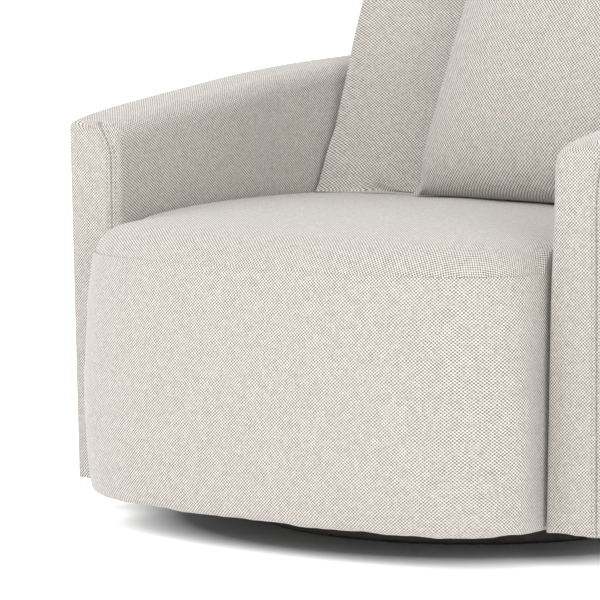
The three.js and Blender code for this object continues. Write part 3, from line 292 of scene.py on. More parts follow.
def swept_shell(name, section, start, end, count):
    """Sweeps a closed section of (inset, height) columns along the shell."""
    distance = np.linspace(start, end, count)
    st = stations(distance)
    pairs = [(np.broadcast_to(i, count), np.broadcast_to(z, count)) for i, z in section(st)]
    inset = np.stack([pair[0] for pair in pairs], 1)
    z = np.stack([pair[1] for pair in pairs], 1)
    wide = {key: value[:, None] if value.ndim == 1 else value[:, None, :] for key, value in st.items()}
    points = shell_points(wide, inset, z)
    step = np.hypot(np.diff(inset, axis=1), np.diff(z, axis=1))
    up = np.concatenate([np.zeros((count, 1)), np.cumsum(step, axis=1)], axis=1)
    weave = np.stack([np.broadcast_to(distance[:, None], up.shape), up], -1)
    columns = inset.shape[1]
    faces = loop_faces(count, columns)
    made = make_object(name, points.reshape(-1, 3), faces, weave.reshape(-1, 2))
    return outward(made)


COVER_START = FRONT_PANEL_THICKNESS + CLOTH_GAP
SEAM_DIP = 1.2
SEAM_WIDTH = 5
SWELL_RUN = 110  # the padding reaches its full swell this far behind the arm fronts


def swell_share(st):
    """Nought at each arm front, one along the rest of the shell."""
    from_end = np.minimum(st["at"], SHELL_LENGTH - st["at"])
    return smoothstep(from_end, COVER_START, SWELL_RUN)


HEM_ROLL = ((3.2, 0.8), (1.8, 0), (0.7, 0.5), (0.1, 2))  # inset and height of the folded hem


def outer_cover_section(st):
    """The outside cover: hem, outer face and the sunk edge that is sewn to the inside."""
    top = st["crest"] - OUTER_COVER_DROP
    hem = CHAIR_BOTTOM + 1.1 * swell_share(st) * ripple(st["at"], 210, SEED + 1)
    pairs = [(OUTER_COVER_THICKNESS, hem + 4)]
    pairs += [(inset, hem + up) for inset, up in HEM_ROLL]
    for share in np.linspace(0.01, 1, 30):
        z = mix(hem + 2, top - SEAM_WIDTH, share)
        uneven = 0.8 * swell_share(st) * ripple(st["at"], 320, SEED + 2) * math.sin(math.pi * share)
        pairs.append((uneven, z))
    pairs.append((0.25 * SEAM_DIP, top - 0.5 * SEAM_WIDTH))
    pairs.append((0.6 * SEAM_DIP, top - 0.2 * SEAM_WIDTH))
    pairs.append((SEAM_DIP, top))
    pairs.append((OUTER_COVER_THICKNESS, top))
    return pairs


def crest_pairs(st):
    """Rounded top of the wall, from the outer face over the crest to the inner face."""
    pairs = []
    for angle in np.linspace(0, math.pi / 2, 8):
        pairs.append((OUTER_EDGE_RADIUS * (1 - math.cos(angle)),
                      st["crest"] - OUTER_EDGE_RADIUS * (1 - math.sin(angle))))
    inner_top = st["crest"] - INNER_EDGE_DROP
    thickness = wall_thickness(st, inner_top - INNER_EDGE_RADIUS)
    for share in np.linspace(0.12, 0.88, 6):
        inset = mix(OUTER_EDGE_RADIUS, thickness - INNER_EDGE_RADIUS, share)
        swell = 1.5 * swell_share(st) * math.sin(math.pi * share)
        pairs.append((inset, mix(st["crest"], inner_top, share) + swell))
    for angle in np.linspace(0, math.pi / 2, 12):
        pairs.append((thickness - INNER_EDGE_RADIUS * (1 - math.sin(angle)),
                      inner_top - INNER_EDGE_RADIUS * (1 - math.cos(angle))))
    return pairs


def inner_pad_section(st):
    """The padded inside, with the top roll, down to behind the seat."""
    lip = st["crest"] - OUTER_COVER_DROP + PANEL_GAP
    under = st["crest"] - TOP_PAD_DEPTH
    pairs = [(SEAM_DIP, lip), (0.5 * SEAM_DIP, lip + 1)]
    pairs += crest_pairs(st)
    start = st["crest"] - INNER_EDGE_DROP - INNER_EDGE_RADIUS
    for share in np.linspace(0.04, 1, 26):
        z = mix(start, INNER_PAD_FOOT, share)
        swell = 3.5 * swell_share(st) * max(math.sin(math.pi * min(share * 1.15, 1)), 0) ** 0.8
        pairs.append((wall_thickness(st, z) + swell, z))
    pairs.append((wall_thickness(st, INNER_PAD_FOOT) - INNER_PAD_THICKNESS, INNER_PAD_FOOT))
    pairs.append((wall_thickness(st, SEAT_LEVEL) - INNER_PAD_THICKNESS, SEAT_LEVEL))
    pairs.append((wall_thickness(st, under) - INNER_PAD_THICKNESS, under))
    pairs.append((OUTER_COVER_THICKNESS + PANEL_GAP, under))
    pairs.append((OUTER_COVER_THICKNESS + PANEL_GAP, lip))
    return pairs


def add_shell(fabric):
    end = SHELL_LENGTH - COVER_START
    outer = swept_shell("shell_outer_cover_fabric", outer_cover_section, COVER_START, end, 260)
    inner = swept_shell("shell_inner_pad_fabric", inner_pad_section, COVER_START, end, 260)
    for piece, node in ((outer, "shell_outer_cover"), (inner, "shell_inner_pad")):
        dress(piece, fabric, "chair_body", "upholstery", node)


def dress(piece, material, body, slot, *nodes):
    piece.data.materials.append(material)
    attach(piece, body)
    if nodes:
        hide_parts(*nodes)
    return piece


# ------------ arm fronts
PANEL_EDGE_RADIUS = 5.5  # along the outer edge and the foot
PANEL_TOP_RADIUS = 12.5  # over the top and round the inner corner
PANEL_CROWN = 1.6
PANEL_LIFT_RUN = 60  # only this much of the panel's top follows the rising crest
PANEL_COLUMNS = 100
PANEL_ROWS = 300
FRONT_SEAM_FROM_INNER = 13  # left arm
FRONT_SEAM_FROM_OUTER = 6  # right arm, at its foot
FRONT_SEAM_LEAN = 0.035  # how far it moves in for each mm up
# height where each seam turns, then the inset and height where it ends
SEAM_ENDS = {-1: (505, 35, 557), 1: (480, 3, 552)}
STITCH_ROW = 6.5  # the top-stitching beside a seam
STITCH_PITCH = 7


def arm_bottom_thickness():
    return float(wall_thickness(stations(np.array([0.0])), CHAIR_BOTTOM)[0])


def arm_face(inset, z):
    """Inset and height on an arm's front face to its x, left arm, and z."""
    st = stations(np.zeros_like(np.asarray(z, float)))
    return shell_points(st, inset, z)[..., 0]


def arm_outline():
    """The arm front's outline as (inset, height), from outer foot over the top to inner foot."""
    st = stations(np.array([0.0]))
    pairs = [(0.0, CHAIR_BOTTOM)]
    pairs += [(float(np.ravel(inset)[0]), float(np.ravel(z)[0])) for inset, z in crest_pairs(st)]
    pairs.append((arm_bottom_thickness(), CHAIR_BOTTOM))
    return np.array(pairs)


def front_seam(side):
    """(inset, height) along the seam on an arm's front face, from its foot up to the crest."""
    turn, end_inset, end_height = SEAM_ENDS[side]
    heights = np.linspace(CHAIR_BOTTOM, turn, 30)
    if side < 0:
        inset = wall_thickness(stations(np.zeros(30)), heights) - FRONT_SEAM_FROM_INNER
    else:
        inset = FRONT_SEAM_FROM_OUTER + FRONT_SEAM_LEAN * (heights - CHAIR_BOTTOM)
    angles = np.linspace(0, math.pi / 2, 16)[1:]
    curve_inset = mix(end_inset, inset[-1], np.cos(angles))
    curve_height = mix(turn, end_height, np.sin(angles))
    return np.stack([np.append(inset, curve_inset), np.append(heights, curve_height)], 1)


def seam_relief(flat, side):
    """How far the seam and the stitches beside it draw the cloth in, and the painted shade of their
    groove and needle holes.
    """
    away, along = nearest_on_line(flat, front_seam(side))
    holes = 0.5 + 0.5 * np.cos(2 * math.pi * along / STITCH_PITCH)
    seam = np.exp(-((away / 1.5) ** 2))
    row = holes * np.exp(-(((away - STITCH_ROW) / 1.3) ** 2))
    pucker = 0.3 * np.exp(-away / 6) * ripple(along, 17, SEED + 5)
    drawn = (0.9 + 1.1 * holes) * seam + row + pucker
    return drawn, np.clip((0.45 + 0.4 * holes) * seam + 0.5 * row, 0, 1)


def lifted(z, back):
    """Raises a panel's top with the arm's crest, for points this far behind its face."""
    rise = stations(back)["crest"] - ARM_FRONT_HEIGHT
    return z + rise * smoothstep(z, ARM_FRONT_HEIGHT - PANEL_LIFT_RUN, ARM_FRONT_HEIGHT)


def panel_grid(outline):
    """(inset, height) of the points over an arm's front face, closer together at its edges."""
    share = (1 - np.cos(np.linspace(0, math.pi, PANEL_COLUMNS))) / 2
    rise = (1 - np.cos(np.linspace(0, math.pi, PANEL_ROWS))) / 2
    top_inset, top_height = outline[1:-1, 0], outline[1:-1, 1]
    reach = top_inset[-1]
    top = np.interp(share * reach, top_inset, top_height)
    grid = np.zeros((PANEL_ROWS, PANEL_COLUMNS, 2))
    for row, up in enumerate(rise):
        z = CHAIR_BOTTOM + up * (top - CHAIR_BOTTOM)
        width = wall_thickness(stations(np.array([0.0])), z)
        grid[row, :, 0] = share * np.minimum(width, reach)
        grid[row, :, 1] = z
    return grid.reshape(-1, 2)


def panel_fall(flat, outline):
    """How far behind the front face the panel lies: its rounded edge and its slight crown."""
    depth = distance_to_line(flat, np.vstack([outline, outline[:1]]))
    soft = smoothstep(flat[:, 0], 6, 45) * smoothstep(flat[:, 1], 330, 510)
    radius = mix(PANEL_EDGE_RADIUS, PANEL_TOP_RADIUS, soft)
    fillet = np.clip(radius - depth, 0, radius)
    edge = radius - np.sqrt(np.maximum(radius ** 2 - fillet ** 2, 0))
    return edge + PANEL_CROWN * (1 - smoothstep(depth, 2, 30))


def keep_seam_painted_shade(panel, shade):
    """Stores the painted shade of the seam groove and its needle holes, for the cloth's material."""
    dark = np.append(shade, np.zeros(len(panel.data.vertices) - len(shade)))
    layer = panel.data.attributes.new("seam", "FLOAT", "POINT")
    layer.data.foreach_set("value", dark.astype(np.float32))


def add_arm_front(side, fabric):
    """An arm's front panel: the sewn face, then its rim and its flat back."""
    name = "arm_front_panel_" + ("left" if side < 0 else "right")
    outline = arm_outline()
    flat = panel_grid(outline)
    # shade is the painted shade of the seam groove and its needle holes
    drawn, shade = seam_relief(flat, side)
    fall = np.minimum(panel_fall(flat, outline) + drawn, FRONT_PANEL_THICKNESS - 1)
    x = -side * arm_face(flat[:, 0], flat[:, 1])
    hem = 0.9 * ripple(flat[:, 0], 60, SEED + 6) * (1 - smoothstep(flat[:, 1], CHAIR_BOTTOM, 90))
    points = np.stack([x, ARM_FRONT_Y + fall, lifted(flat[:, 1], fall) + hem], 1)
    middle = arm_bottom_thickness() / 2
    inward = -side * (2 * smoothstep(flat[:, 0], 0.6 * middle, 1.4 * middle) - 1)
    weave = np.stack([x + inward * fall, flat[:, 1]], 1)
    index = np.arange(PANEL_ROWS * PANEL_COLUMNS).reshape(PANEL_ROWS, PANEL_COLUMNS)
    corners = (index[:-1, :-1], index[:-1, 1:], index[1:, 1:], index[1:, :-1])
    faces = list(zip(*(corner.ravel() for corner in corners)))
    rim = np.concatenate([index[0, :-1], index[:-1, -1], index[-1, :0:-1], index[:0:-1, 0]])
    last = rim
    for depth in (FRONT_PANEL_THICKNESS - 0.6, FRONT_PANEL_THICKNESS):
        back = np.full(len(rim), float(depth))
        ring = np.stack([x[rim], ARM_FRONT_Y + back, lifted(flat[rim, 1], back) + hem[rim]], 1)
        fresh = len(points) + np.arange(len(rim))
        points = np.vstack([points, ring])
        weave = np.vstack([weave, np.stack([x[rim] + inward[rim] * back, flat[rim, 1]], 1)])
        faces += zip(last, np.roll(last, -1), np.roll(fresh, -1), fresh)
        last = fresh
    faces.append(tuple(last))
    panel = outward(make_object(name + "_fabric", points, faces, weave))
    keep_seam_painted_shade(panel, shade)
    dress(panel, fabric, "chair_body", "upholstery", name)


# ------------ seat form
SEAT_HALF = ARM_OUTER_HALF - arm_bottom_thickness() - SEAT_GAP


def seat_front():
    """Evenly spaced points of the D front in plan, from the left arm to the right."""
    angle = np.linspace(0, math.pi, 4001)
    cosine = np.cos(angle)
    power = 2 / SEAT_ROUNDNESS
    x = -SEAT_HALF * np.sign(cosine) * np.abs(cosine) ** power
    y = ARM_FRONT_Y - SEAT_DEPTH_BULGE * np.sin(angle) ** power
    return resampled(np.stack([x, y], 1), 241)


FRONT = seat_front()


def line_normals(line):
    tangent = np.gradient(line, axis=0)
    tangent /= np.linalg.norm(tangent, axis=1, keepdims=True)
    return np.stack([tangent[:, 1], -tangent[:, 0]], 1)


def seat_top(distance, x):
    edge = SEAT_EDGE_RISE * (1 - np.exp(-distance / SEAT_EDGE_LENGTH))
    crown = SEAT_CROWN_RISE * (1 - np.exp(-distance / SEAT_CROWN_LENGTH))
    return SEAT_SEAM_HEIGHT + edge + crown - SEAT_SIDE_DROP * (x / SEAT_HALF) ** 2


def seam_strength(at, length):
    """How much a seat seam puckers: more towards the arms."""
    ends = np.minimum(at, length - at)
    return mix(1.0, 0.3, smoothstep(ends, 20, 260))


HEM_ROUND = 16
HEM_TUCK = 10
BAND_DROPS = (0, 1.2, 2.6, 4.5, 7, 11)  # rows close under the seam


def band_line():
    """The band's line in plan and its outward normals: the D front with a short return at each end."""
    normal = line_normals(FRONT)
    normal[0], normal[-1] = (-1, 0), (1, 0)
    back = np.linspace(FRONT_BAND_RETURN, 2, 6)
    left = np.stack([np.full(6, FRONT[0, 0]), FRONT[0, 1] + back], 1)
    right = np.stack([np.full(6, FRONT[-1, 0]), FRONT[-1, 1] + back[::-1]], 1)
    normals = np.vstack([np.tile((-1.0, 0.0), (6, 1)), normal, np.tile((1.0, 0.0), (6, 1))])
    return np.vstack([left, FRONT, right]), normals


def band_section(line):
    """How far out and how high the band's cloth lies at each point of its line, from seam to hem."""
    at = polyline_length(line)
    swell = FRONT_BAND_BULGE * smoothstep(ARM_FRONT_Y - line[:, 1], 0, 60)
    strength = seam_strength(at, at[-1])
    height = SEAT_SEAM_HEIGHT - CHAIR_BOTTOM
    hem = 1.3 * ripple(at, 190, SEED + 8) + 0.6 * ripple(at, 70, SEED + 9)
    outs, ups = [-FRONT_BAND_THICKNESS + 0 * at], [SEAT_SEAM_HEIGHT - 2 + 0 * at]
    outs.append(-2.0 + 0 * at)
    ups.append(SEAT_SEAM_HEIGHT + 0 * at)
    for drop in np.concatenate([BAND_DROPS, np.linspace(18, height - HEM_ROUND, 26)]):
        up = 1 - drop / height
        profile = (4 * up ** 0.9 * (1 - up ** 0.9)) ** mix(0.6, 0.85, smoothstep(up, 0.45, 0.6))
        dip = 0.2 * math.exp(-((drop / 2.2) ** 2))
        pucker = 0.5 * strength * ripple(at, 23, SEED + 7) * math.exp(-drop / 14)
        uneven = 1.1 * ripple(at, 260, SEED + 10 + int(drop // 80)) * math.sin(math.pi * up)
        outs.append(swell * profile - dip + pucker + uneven)
        ups.append(SEAT_SEAM_HEIGHT - drop + 0 * at)
    for angle in np.linspace(0.2, 1, 7) * math.pi / 2:
        outs.append(swell * 0.42 * math.cos(angle) - HEM_TUCK * (1 - math.cos(angle)))
        ups.append(CHAIR_BOTTOM + hem + HEM_ROUND * (1 - math.sin(angle)))
    outs.append(-FRONT_BAND_THICKNESS + 0 * at)
    ups.append(CHAIR_BOTTOM + hem + 2)
    return np.stack(outs, 1), np.stack(ups, 1)


def add_front_band(fabric):
    """The seat's front, from the seam down to the hem and a little way back at each side."""
    line, normals = band_line()
    out, z = band_section(line)
    points = np.concatenate([line[:, None] + normals[:, None] * out[..., None], z[..., None]], -1)
    step = np.hypot(np.diff(out, axis=1), np.diff(z, axis=1))
    down = np.concatenate([np.zeros((len(line), 1)), np.cumsum(step, axis=1)], axis=1)
    at = np.broadcast_to(polyline_length(line)[:, None], down.shape)
    weave = np.stack([at, -down], -1).reshape(-1, 2)
    faces = loop_faces(len(line), out.shape[1])
    band = outward(make_object("seat_front_band_fabric", points.reshape(-1, 3), faces, weave))
    dress(band, fabric, "chair_body", "upholstery", "seat_front_band")


def seat_outline():
    """The whole seat in plan, anticlockwise: the D front, then back along the shell."""
    distance = np.linspace(SHELL_LENGTH - COVER_START, COVER_START, 260)[1:-1]
    st = stations(distance)
    inset = wall_thickness(st, SEAT_SUPPORT_LEVEL) + SEAT_GAP
    sides = shell_points(st, inset, np.full(len(distance), float(SEAT_SUPPORT_LEVEL)))[:, :2]
    sides[:, 0] = np.clip(sides[:, 0], -SEAT_HALF, SEAT_HALF)
    return np.vstack([FRONT, sides])


def moved_in(line, inset):
    closed = np.vstack([line[-1:], line, line[:1]])
    tangent = closed[2:] - closed[:-2]
    tangent /= np.linalg.norm(tangent, axis=1, keepdims=True)
    return line + inset * np.stack([-tangent[:, 1], tangent[:, 0]], 1)


def seat_surface(points):
    """Height of the seat's top under each point."""
    plan = points[:, :2]
    return seat_top(distance_to_line(plan, FRONT[::4]), plan[:, 0]) + SEAT_UNEVEN


def rest_on_seat(points):
    """Flattens whatever would sink into the seat."""
    points[:, 2] = np.maximum(points[:, 2], seat_surface(points) + SOFT_REST)
    return points


SEAT_UNEVEN = 1.2  # how far the seat's crown rises and falls
SOFT_REST = 0.6
SEAT_RINGS = (2.6, 1.2, 0.25, 1.2, 3.5, 6, 9, 13, 18, 24)
SEAT_TUCK = (-1.5, 0.02, 0.25)  # heights of the first rings, which turn in behind the seam
SEAT_DOME = (0.985, 0.96, 0.92, 0.86, 0.78, 0.68, 0.56, 0.43, 0.3, 0.18, 0.07)
SEAT_MIDDLE = np.array([0.0, ARM_FRONT_Y + 260.0])
EDGE_REACH = 400  # the front edge's roll is counted in this far


def add_seat_top(fabric):
    """The seat's top cover, rolled over its front edge into the seam."""
    outline = seat_outline()
    along = polyline_length(np.vstack([outline, outline[:1]]))[:-1]
    front_length = polyline_length(FRONT)[-1]
    strength = np.where(along < front_length, seam_strength(along, front_length), 0.3)
    pucker = 0.6 * strength * ripple(along, 23, SEED + 12)
    rings = [moved_in(outline, inset) for inset in SEAT_RINGS]
    rings += [mix(SEAT_MIDDLE, rings[-1], share) for share in SEAT_DOME]
    top, weave = [], []
    for k, ring in enumerate(rings):
        distance = distance_to_line(ring, FRONT)
        top.append(np.column_stack([ring, cover_height(k, ring, distance, pucker)]))
        weave.append(cover_cloth(ring, distance))
    edge = len(SEAT_RINGS) - 1
    under = [ring - (0, 0, SEAT_TOP_THICKNESS) for ring in top[edge:]]
    foot = top[edge].copy()
    foot[:, 2] = SEAT_SEAM_HEIGHT + SEAT_TUCK[0]
    stack = under[::-1] + [foot] + top
    cloth = weave[edge:][::-1] + [weave[edge]] + weave
    faces = loop_faces(len(stack), len(outline))
    cover = outward(make_object("seat_top_cover_fabric", np.vstack(stack), faces, np.vstack(cloth)))
    dress(cover, fabric, "chair_body", "upholstery", "seat_top_cover")


def cover_height(k, ring, distance, pucker):
    """Heights of ring k: the first rings turn in behind the seam, the rest lie over the crown."""
    if k < len(SEAT_TUCK):
        return np.full(len(ring), SEAT_SEAM_HEIGHT + SEAT_TUCK[k])
    uneven = SEAT_UNEVEN * ripple(ring[:, 0] + 0.4 * ring[:, 1], 340, SEED + 13)
    loose = pucker * np.exp(-distance / 12) + uneven * smoothstep(distance, 30, 120)
    return seat_top(distance, ring[:, 0]) + loose


def cover_cloth(ring, distance):
    """A ring's places on the flat cloth, moved out by what the rolled front edge takes up."""
    spare = edge_excess(EDGE_REACH) - edge_excess(distance)
    away = ring - SEAT_MIDDLE
    away /= np.maximum(np.linalg.norm(away, axis=1, keepdims=True), 1e-6)
    return ring + away * spare[:, None]


def edge_excess(distance):
    """How much longer the cloth is over the front edge than it is in plan."""
    fine = np.linspace(0, EDGE_REACH, 2001)
    slope = (SEAT_EDGE_RISE / SEAT_EDGE_LENGTH * np.exp(-fine / SEAT_EDGE_LENGTH)
             + SEAT_CROWN_RISE / SEAT_CROWN_LENGTH * np.exp(-fine / SEAT_CROWN_LENGTH))
    excess = np.concatenate([[0], np.cumsum((np.sqrt(1 + slope ** 2) - 1)[:-1] * np.diff(fine))])
    return np.interp(distance, fine, excess)


# ------------ cloth simulation
def simulate(made, pressure, cap, frames, stiffness, bending):
    """Lets a closed piece's cloth swell under pressure and keeps the result, within a cap in metres."""
    view_layer = bpy.context.view_layer
    view_layer.objects.active = made
    start = coordinates(made) * MM
    cloth = made.modifiers.new("cloth", "CLOTH")
    settings = cloth.settings
    settings.use_pressure = True
    settings.uniform_pressure_force = pressure
    settings.effector_weights.gravity = 0
    settings.quality = 6
    settings.tension_stiffness = stiffness
    settings.compression_stiffness = stiffness
    settings.bending_stiffness = bending
    cloth.collision_settings.use_collision = False
    scene = bpy.context.scene
    cloth.point_cache.frame_start = 1
    cloth.point_cache.frame_end = frames
    for number in range(1, frames + 1):
        scene.frame_set(number)
        view_layer.update()
    apply_modifiers(made)
    scene.frame_set(1)
    step = coordinates(made) * MM - start
    length = np.linalg.norm(step, axis=1, keepdims=True)
    limited = start + step * np.minimum(1, cap / np.maximum(length, 1e-9))
    set_coordinates(made, limited / MM)


def relaxed(made, rounds, share=0.5):
    """Evens out a mesh: each point moves part of the way to the middle of its neighbours."""
    edges = np.zeros(len(made.data.edges) * 2, int)
    made.data.edges.foreach_get("vertices", edges)
    ends = edges.reshape(-1, 2)
    points = coordinates(made)
    count = np.bincount(ends.ravel(), minlength=len(points))[:, None]
    for _ in range(rounds):
        total = np.zeros_like(points)
        np.add.at(total, ends[:, 0], points[ends[:, 1]])
        np.add.at(total, ends[:, 1], points[ends[:, 0]])
        points = mix(points, total / np.maximum(count, 1), share)
    set_coordinates(made, points)


def apply_modifiers(made):
    """Bakes a piece's modifiers into its mesh."""
    graph = bpy.context.evaluated_depsgraph_get()
    baked = bpy.data.meshes.new_from_object(made.evaluated_get(graph))
    made.modifiers.clear()
    made.data = baked


def coordinates(made):
    found = np.zeros(len(made.data.vertices) * 3)
    made.data.vertices.foreach_get("co", found)
    return found.reshape(-1, 3) / MM


def set_coordinates(made, points):
    made.data.vertices.foreach_set("co", (points * MM).astype(np.float32).ravel())
    made.data.update()


def subdivided(made, levels=1):
    modifier = made.modifiers.new("finer", "SUBSURF")
    modifier.levels = levels
    modifier.render_levels = levels
    modifier.uv_smooth = "NONE"
    apply_modifiers(made)


# ------------ back cushion
LEAN = np.array([0, math.sin(BACK_LEAN), math.cos(BACK_LEAN)])
CUSHION_STATIONS = 71
CUSHION_LAYERS = 54  # rings from its foot to its top
CUSHION_SINK = 32  # how far its foot would reach below the seat before it is flattened
CUSHION_TAPER = (0.976, 0.907)  # its width at the foot and at the top against the room there
CUSHION_TOP_ROUND = 46  # where its faces start to draw in towards the top


def cushion_plan():
    """Rear and front lines of the back cushion in plan at its foot, left to right."""
    front_at = np.interp(CUSHION_SIDE_Y, PLAN[: len(PLAN) // 2, 1], PLAN_AT[: len(PLAN) // 2])
    spread = (1 - np.cos(np.linspace(0, math.pi, CUSHION_STATIONS))) / 2
    spread = mix(np.linspace(0, 1, CUSHION_STATIONS), spread, 0.75)
    st = stations(mix(front_at, SHELL_LENGTH - front_at, spread))
    inset = wall_thickness(st, float(CUSHION_FOOT)) + CUSHION_CLEARANCE
    rear = shell_points(st, inset, np.full(CUSHION_STATIONS, float(CUSHION_FOOT)))[:, :2]
    x = rear[:, 0] * CUSHION_FRONT_SHARE
    wrap = CUSHION_FRONT_WRAP * (np.abs(x) / rear[-1, 0]) ** 2.2
    return rear, np.stack([x, CUSHION_FRONT_Y - wrap], 1)


def cushion_ring():
    """One closed ring of the cushion in plan: along its back and round its ends to the front."""
    rear, front = cushion_plan()
    left_end, right_end = [], []
    for share in (0.15, 0.32, 0.5, 0.68, 0.85):
        out = 8 * math.sin(math.pi * share)
        right_end.append(mix(rear[-1], front[-1], share) + (out, -0.3 * out))
        left_end.append(mix(front[0], rear[0], share) + (-out, -0.3 * out))
    return np.vstack([rear, right_end, front[::-1], left_end])


def add_back_cushion(fabric):
    ring = cushion_ring()
    rear, front = cushion_plan()
    middle_y = np.interp(ring[:, 0], rear[:, 0], (rear[:, 1] + front[:, 1]) / 2)
    rings = []
    for up in np.linspace(0, 1, CUSHION_LAYERS):
        height = mix(-CUSHION_SINK, CUSHION_HEIGHT, up)
        nose = np.clip(1 - (CUSHION_HEIGHT - height) / CUSHION_TOP_ROUND, 0, 1)
        share = mix(0.3, 1, math.sqrt(1 - nose ** 2.2))
        width = mix(0.975, 1, share) * mix(*CUSHION_TAPER, up)
        line = np.stack([ring[:, 0] * width, mix(middle_y, ring[:, 1], share)], 1)
        rings.append(np.column_stack([line, np.full(len(line), float(CUSHION_FOOT))]) + LEAN * height)
    faces = loop_faces(len(rings), len(ring))
    cushion = outward(make_object("back_cushion_fabric", np.vstack(rings), faces))
    simulate(cushion, pressure=1.6, cap=0.008, frames=14, stiffness=30, bending=12)
    relaxed(cushion, 9)
    shape_back_cushion(cushion)
    subdivided(cushion)
    cloth_from_front(cushion, LEAN)
    smooth_faces(cushion)
    dress(cushion, fabric, "back_cushion", "cushion_fabric", "back_cushion")


def smooth_faces(made):
    made.data.polygons.foreach_set("use_smooth", [True] * len(made.data.polygons))


CUSHION_FOLDS = (
    # x and height along the lean at each end of a fold, its depth and its width
    (-255, 34, -150, 4, 11.0, 9),
    (-330, 120, -245, 34, 3.5, 18),
    (150, 6, 300, 40, 8.0, 11),
)


def shape_back_cushion(cushion):
    """Adds the soft folds of a sat-against cushion and keeps its foot on the seat."""
    points = coordinates(cushion)
    rise = (points - (0, 0, CUSHION_FOOT)) @ LEAN
    seen = np.stack([points[:, 0], rise], 1)
    faces_front = smoothstep(CUSHION_FRONT_Y + 70 - (points[:, 1] - rise * LEAN[1]), 0, 60)
    for x0, up0, x1, up1, depth, width in CUSHION_FOLDS:
        away = distance_to_line(seen, np.array([[x0, up0], [x1, up1]], float))
        points[:, 1] += depth * np.exp(-((away / width) ** 2)) * faces_front
    loose = ripple(points[:, 0] + 0.6 * rise, 260, SEED + 14) * ripple(rise, 210, SEED + 15)
    points[:, 1] += 2.2 * loose * faces_front
    set_coordinates(cushion, rest_on_seat(points))


def cloth_from_front(made, up):
    """Lays the weave flat over a piece seen from the front: across by x, up by the lean."""
    points = coordinates(made)
    side = np.array([1.0, 0, 0])
    depth = points @ np.cross(side, up)
    set_weave(made.data, np.stack([points @ side + 0.5 * depth, points @ up + 0.5 * depth], 1) * MM)


# ------------ throw pillow
PILLOW_CELLS = 84
PILLOW_START_SHARE = 0.86  # how full the pillow is before its cloth is swollen
PILLOW_EDGE_WAIST = 0.112  # how far the middle of each side is drawn in
PILLOW_SEAM = 3  # half thickness left at the sewn edge
PILLOW_SINK = 12  # how far its foot would reach below where it stands before it is flattened
PILLOW_EAR = 72  # how far each flat corner reaches in
PILLOW_WEAVE = 0.88  # its cloth is stretched over the filling, so the yarns lie wider


def pillow_sheet(u, v, crown):
    """One face of the pillow: a square drawn in at its sides and crowned in its middle."""
    half = PILLOW_SIZE / 2
    across = u * (1 - PILLOW_EDGE_WAIST * (1 - v ** 8) * u ** 2)
    along = v * (1 - PILLOW_EDGE_WAIST * (1 - u ** 8) * v ** 2 * (v > 0))
    power = np.where(v < 0, 3.8, 2.8)  # it sits full on its foot
    full = ((1 - np.abs(u) ** 3) * (1 - np.abs(v) ** power)) ** 0.58
    corner = np.hypot(1 - np.abs(u), 1 - np.abs(v)) * half
    full = full * mix(0.15, 1, smoothstep(corner, 6, PILLOW_EAR))
    edge = np.minimum(1 - np.abs(u), 1 - np.abs(v)) * half
    gather = ripple(u * half, 46, SEED + 16) * ripple(v * half, 52, SEED + 17)
    uneven = 2.0 * gather * np.exp(-edge / 40) * smoothstep(edge, 0, 14)
    rise = PILLOW_SEAM + (abs(crown) - PILLOW_SEAM) * full * PILLOW_START_SHARE + uneven
    rise = np.where(edge < 1e-6, 0, rise)
    return np.stack([across * half, along * half, math.copysign(1, crown) * rise], -1).reshape(-1, 3)


def add_throw_pillow(fabric):
    cells = PILLOW_CELLS
    line = np.sin(np.linspace(-1, 1, cells + 1) * 1.35) / math.sin(1.35)
    u, v = np.meshgrid(line, line, indexing="ij")
    points = np.vstack([pillow_sheet(u, v, PILLOW_FRONT_CROWN), pillow_sheet(u, v, -PILLOW_REAR_CROWN)])
    count = (cells + 1) ** 2
    index = np.arange(count).reshape(cells + 1, cells + 1)
    rim = np.zeros((cells + 1, cells + 1), bool)
    rim[0, :] = rim[-1, :] = rim[:, 0] = rim[:, -1] = True
    lower = np.where(rim, index, index + count)
    faces = []
    for i in range(cells):
        for j in range(cells):
            faces.append((index[i, j], index[i + 1, j], index[i + 1, j + 1], index[i, j + 1]))
            faces.append((lower[i, j], lower[i, j + 1], lower[i + 1, j + 1], lower[i + 1, j]))
    cloth = np.vstack([np.stack([u, v], -1).reshape(-1, 2)] * 2) * PILLOW_SIZE / 2 * PILLOW_WEAVE
    pillow = make_object("throw_pillow_fabric", points, faces, cloth)
    drop_loose(pillow)
    simulate(pillow, pressure=2.5, cap=0.012, frames=14, stiffness=25, bending=6)
    relaxed(pillow, 2)
    place_pillow(pillow)
    subdivided(pillow)
    smooth_faces(pillow)
    dress(pillow, fabric, "throw_pillow", "pillow_fabric", "throw_pillow")


def drop_loose(made):
    """Removes the points that no face uses."""
    work = bmesh.new()
    work.from_mesh(made.data)
    loose = [v for v in work.verts if not v.link_faces]
    bmesh.ops.delete(work, geom=loose, context="VERTS")
    work.to_mesh(made.data)
    work.free()


def place_pillow(pillow):
    """Fits the filled pillow to its size, then stands it up and leans it."""
    points = coordinates(pillow)
    for axis in (0, 1):
        low, high = points[:, axis].min(), points[:, axis].max()
        points[:, axis] = (points[:, axis] - (low + high) / 2) * PILLOW_SIZE / (high - low)
    front, rear = points[:, 2].max(), -points[:, 2].min()
    points[:, 2] = np.where(points[:, 2] > 0, points[:, 2] * PILLOW_FRONT_CROWN / front,
                            points[:, 2] * PILLOW_REAR_CROWN / rear)
    points[:, 1] += PILLOW_SIZE / 2
    place = (Matrix.Translation((PILLOW_CENTRE_X, PILLOW_FOOT_Y, PILLOW_FOOT))
             @ Matrix.Rotation(PILLOW_TURN, 4, "Z")
             @ Matrix.Rotation(math.pi / 2 - PILLOW_LEAN, 4, "X"))
    place = np.array(place)
    points = points @ place[:3, :3].T + place[:3, 3]
    points[:, 2] -= PILLOW_SINK
    set_coordinates(pillow, rest_on_seat(points))


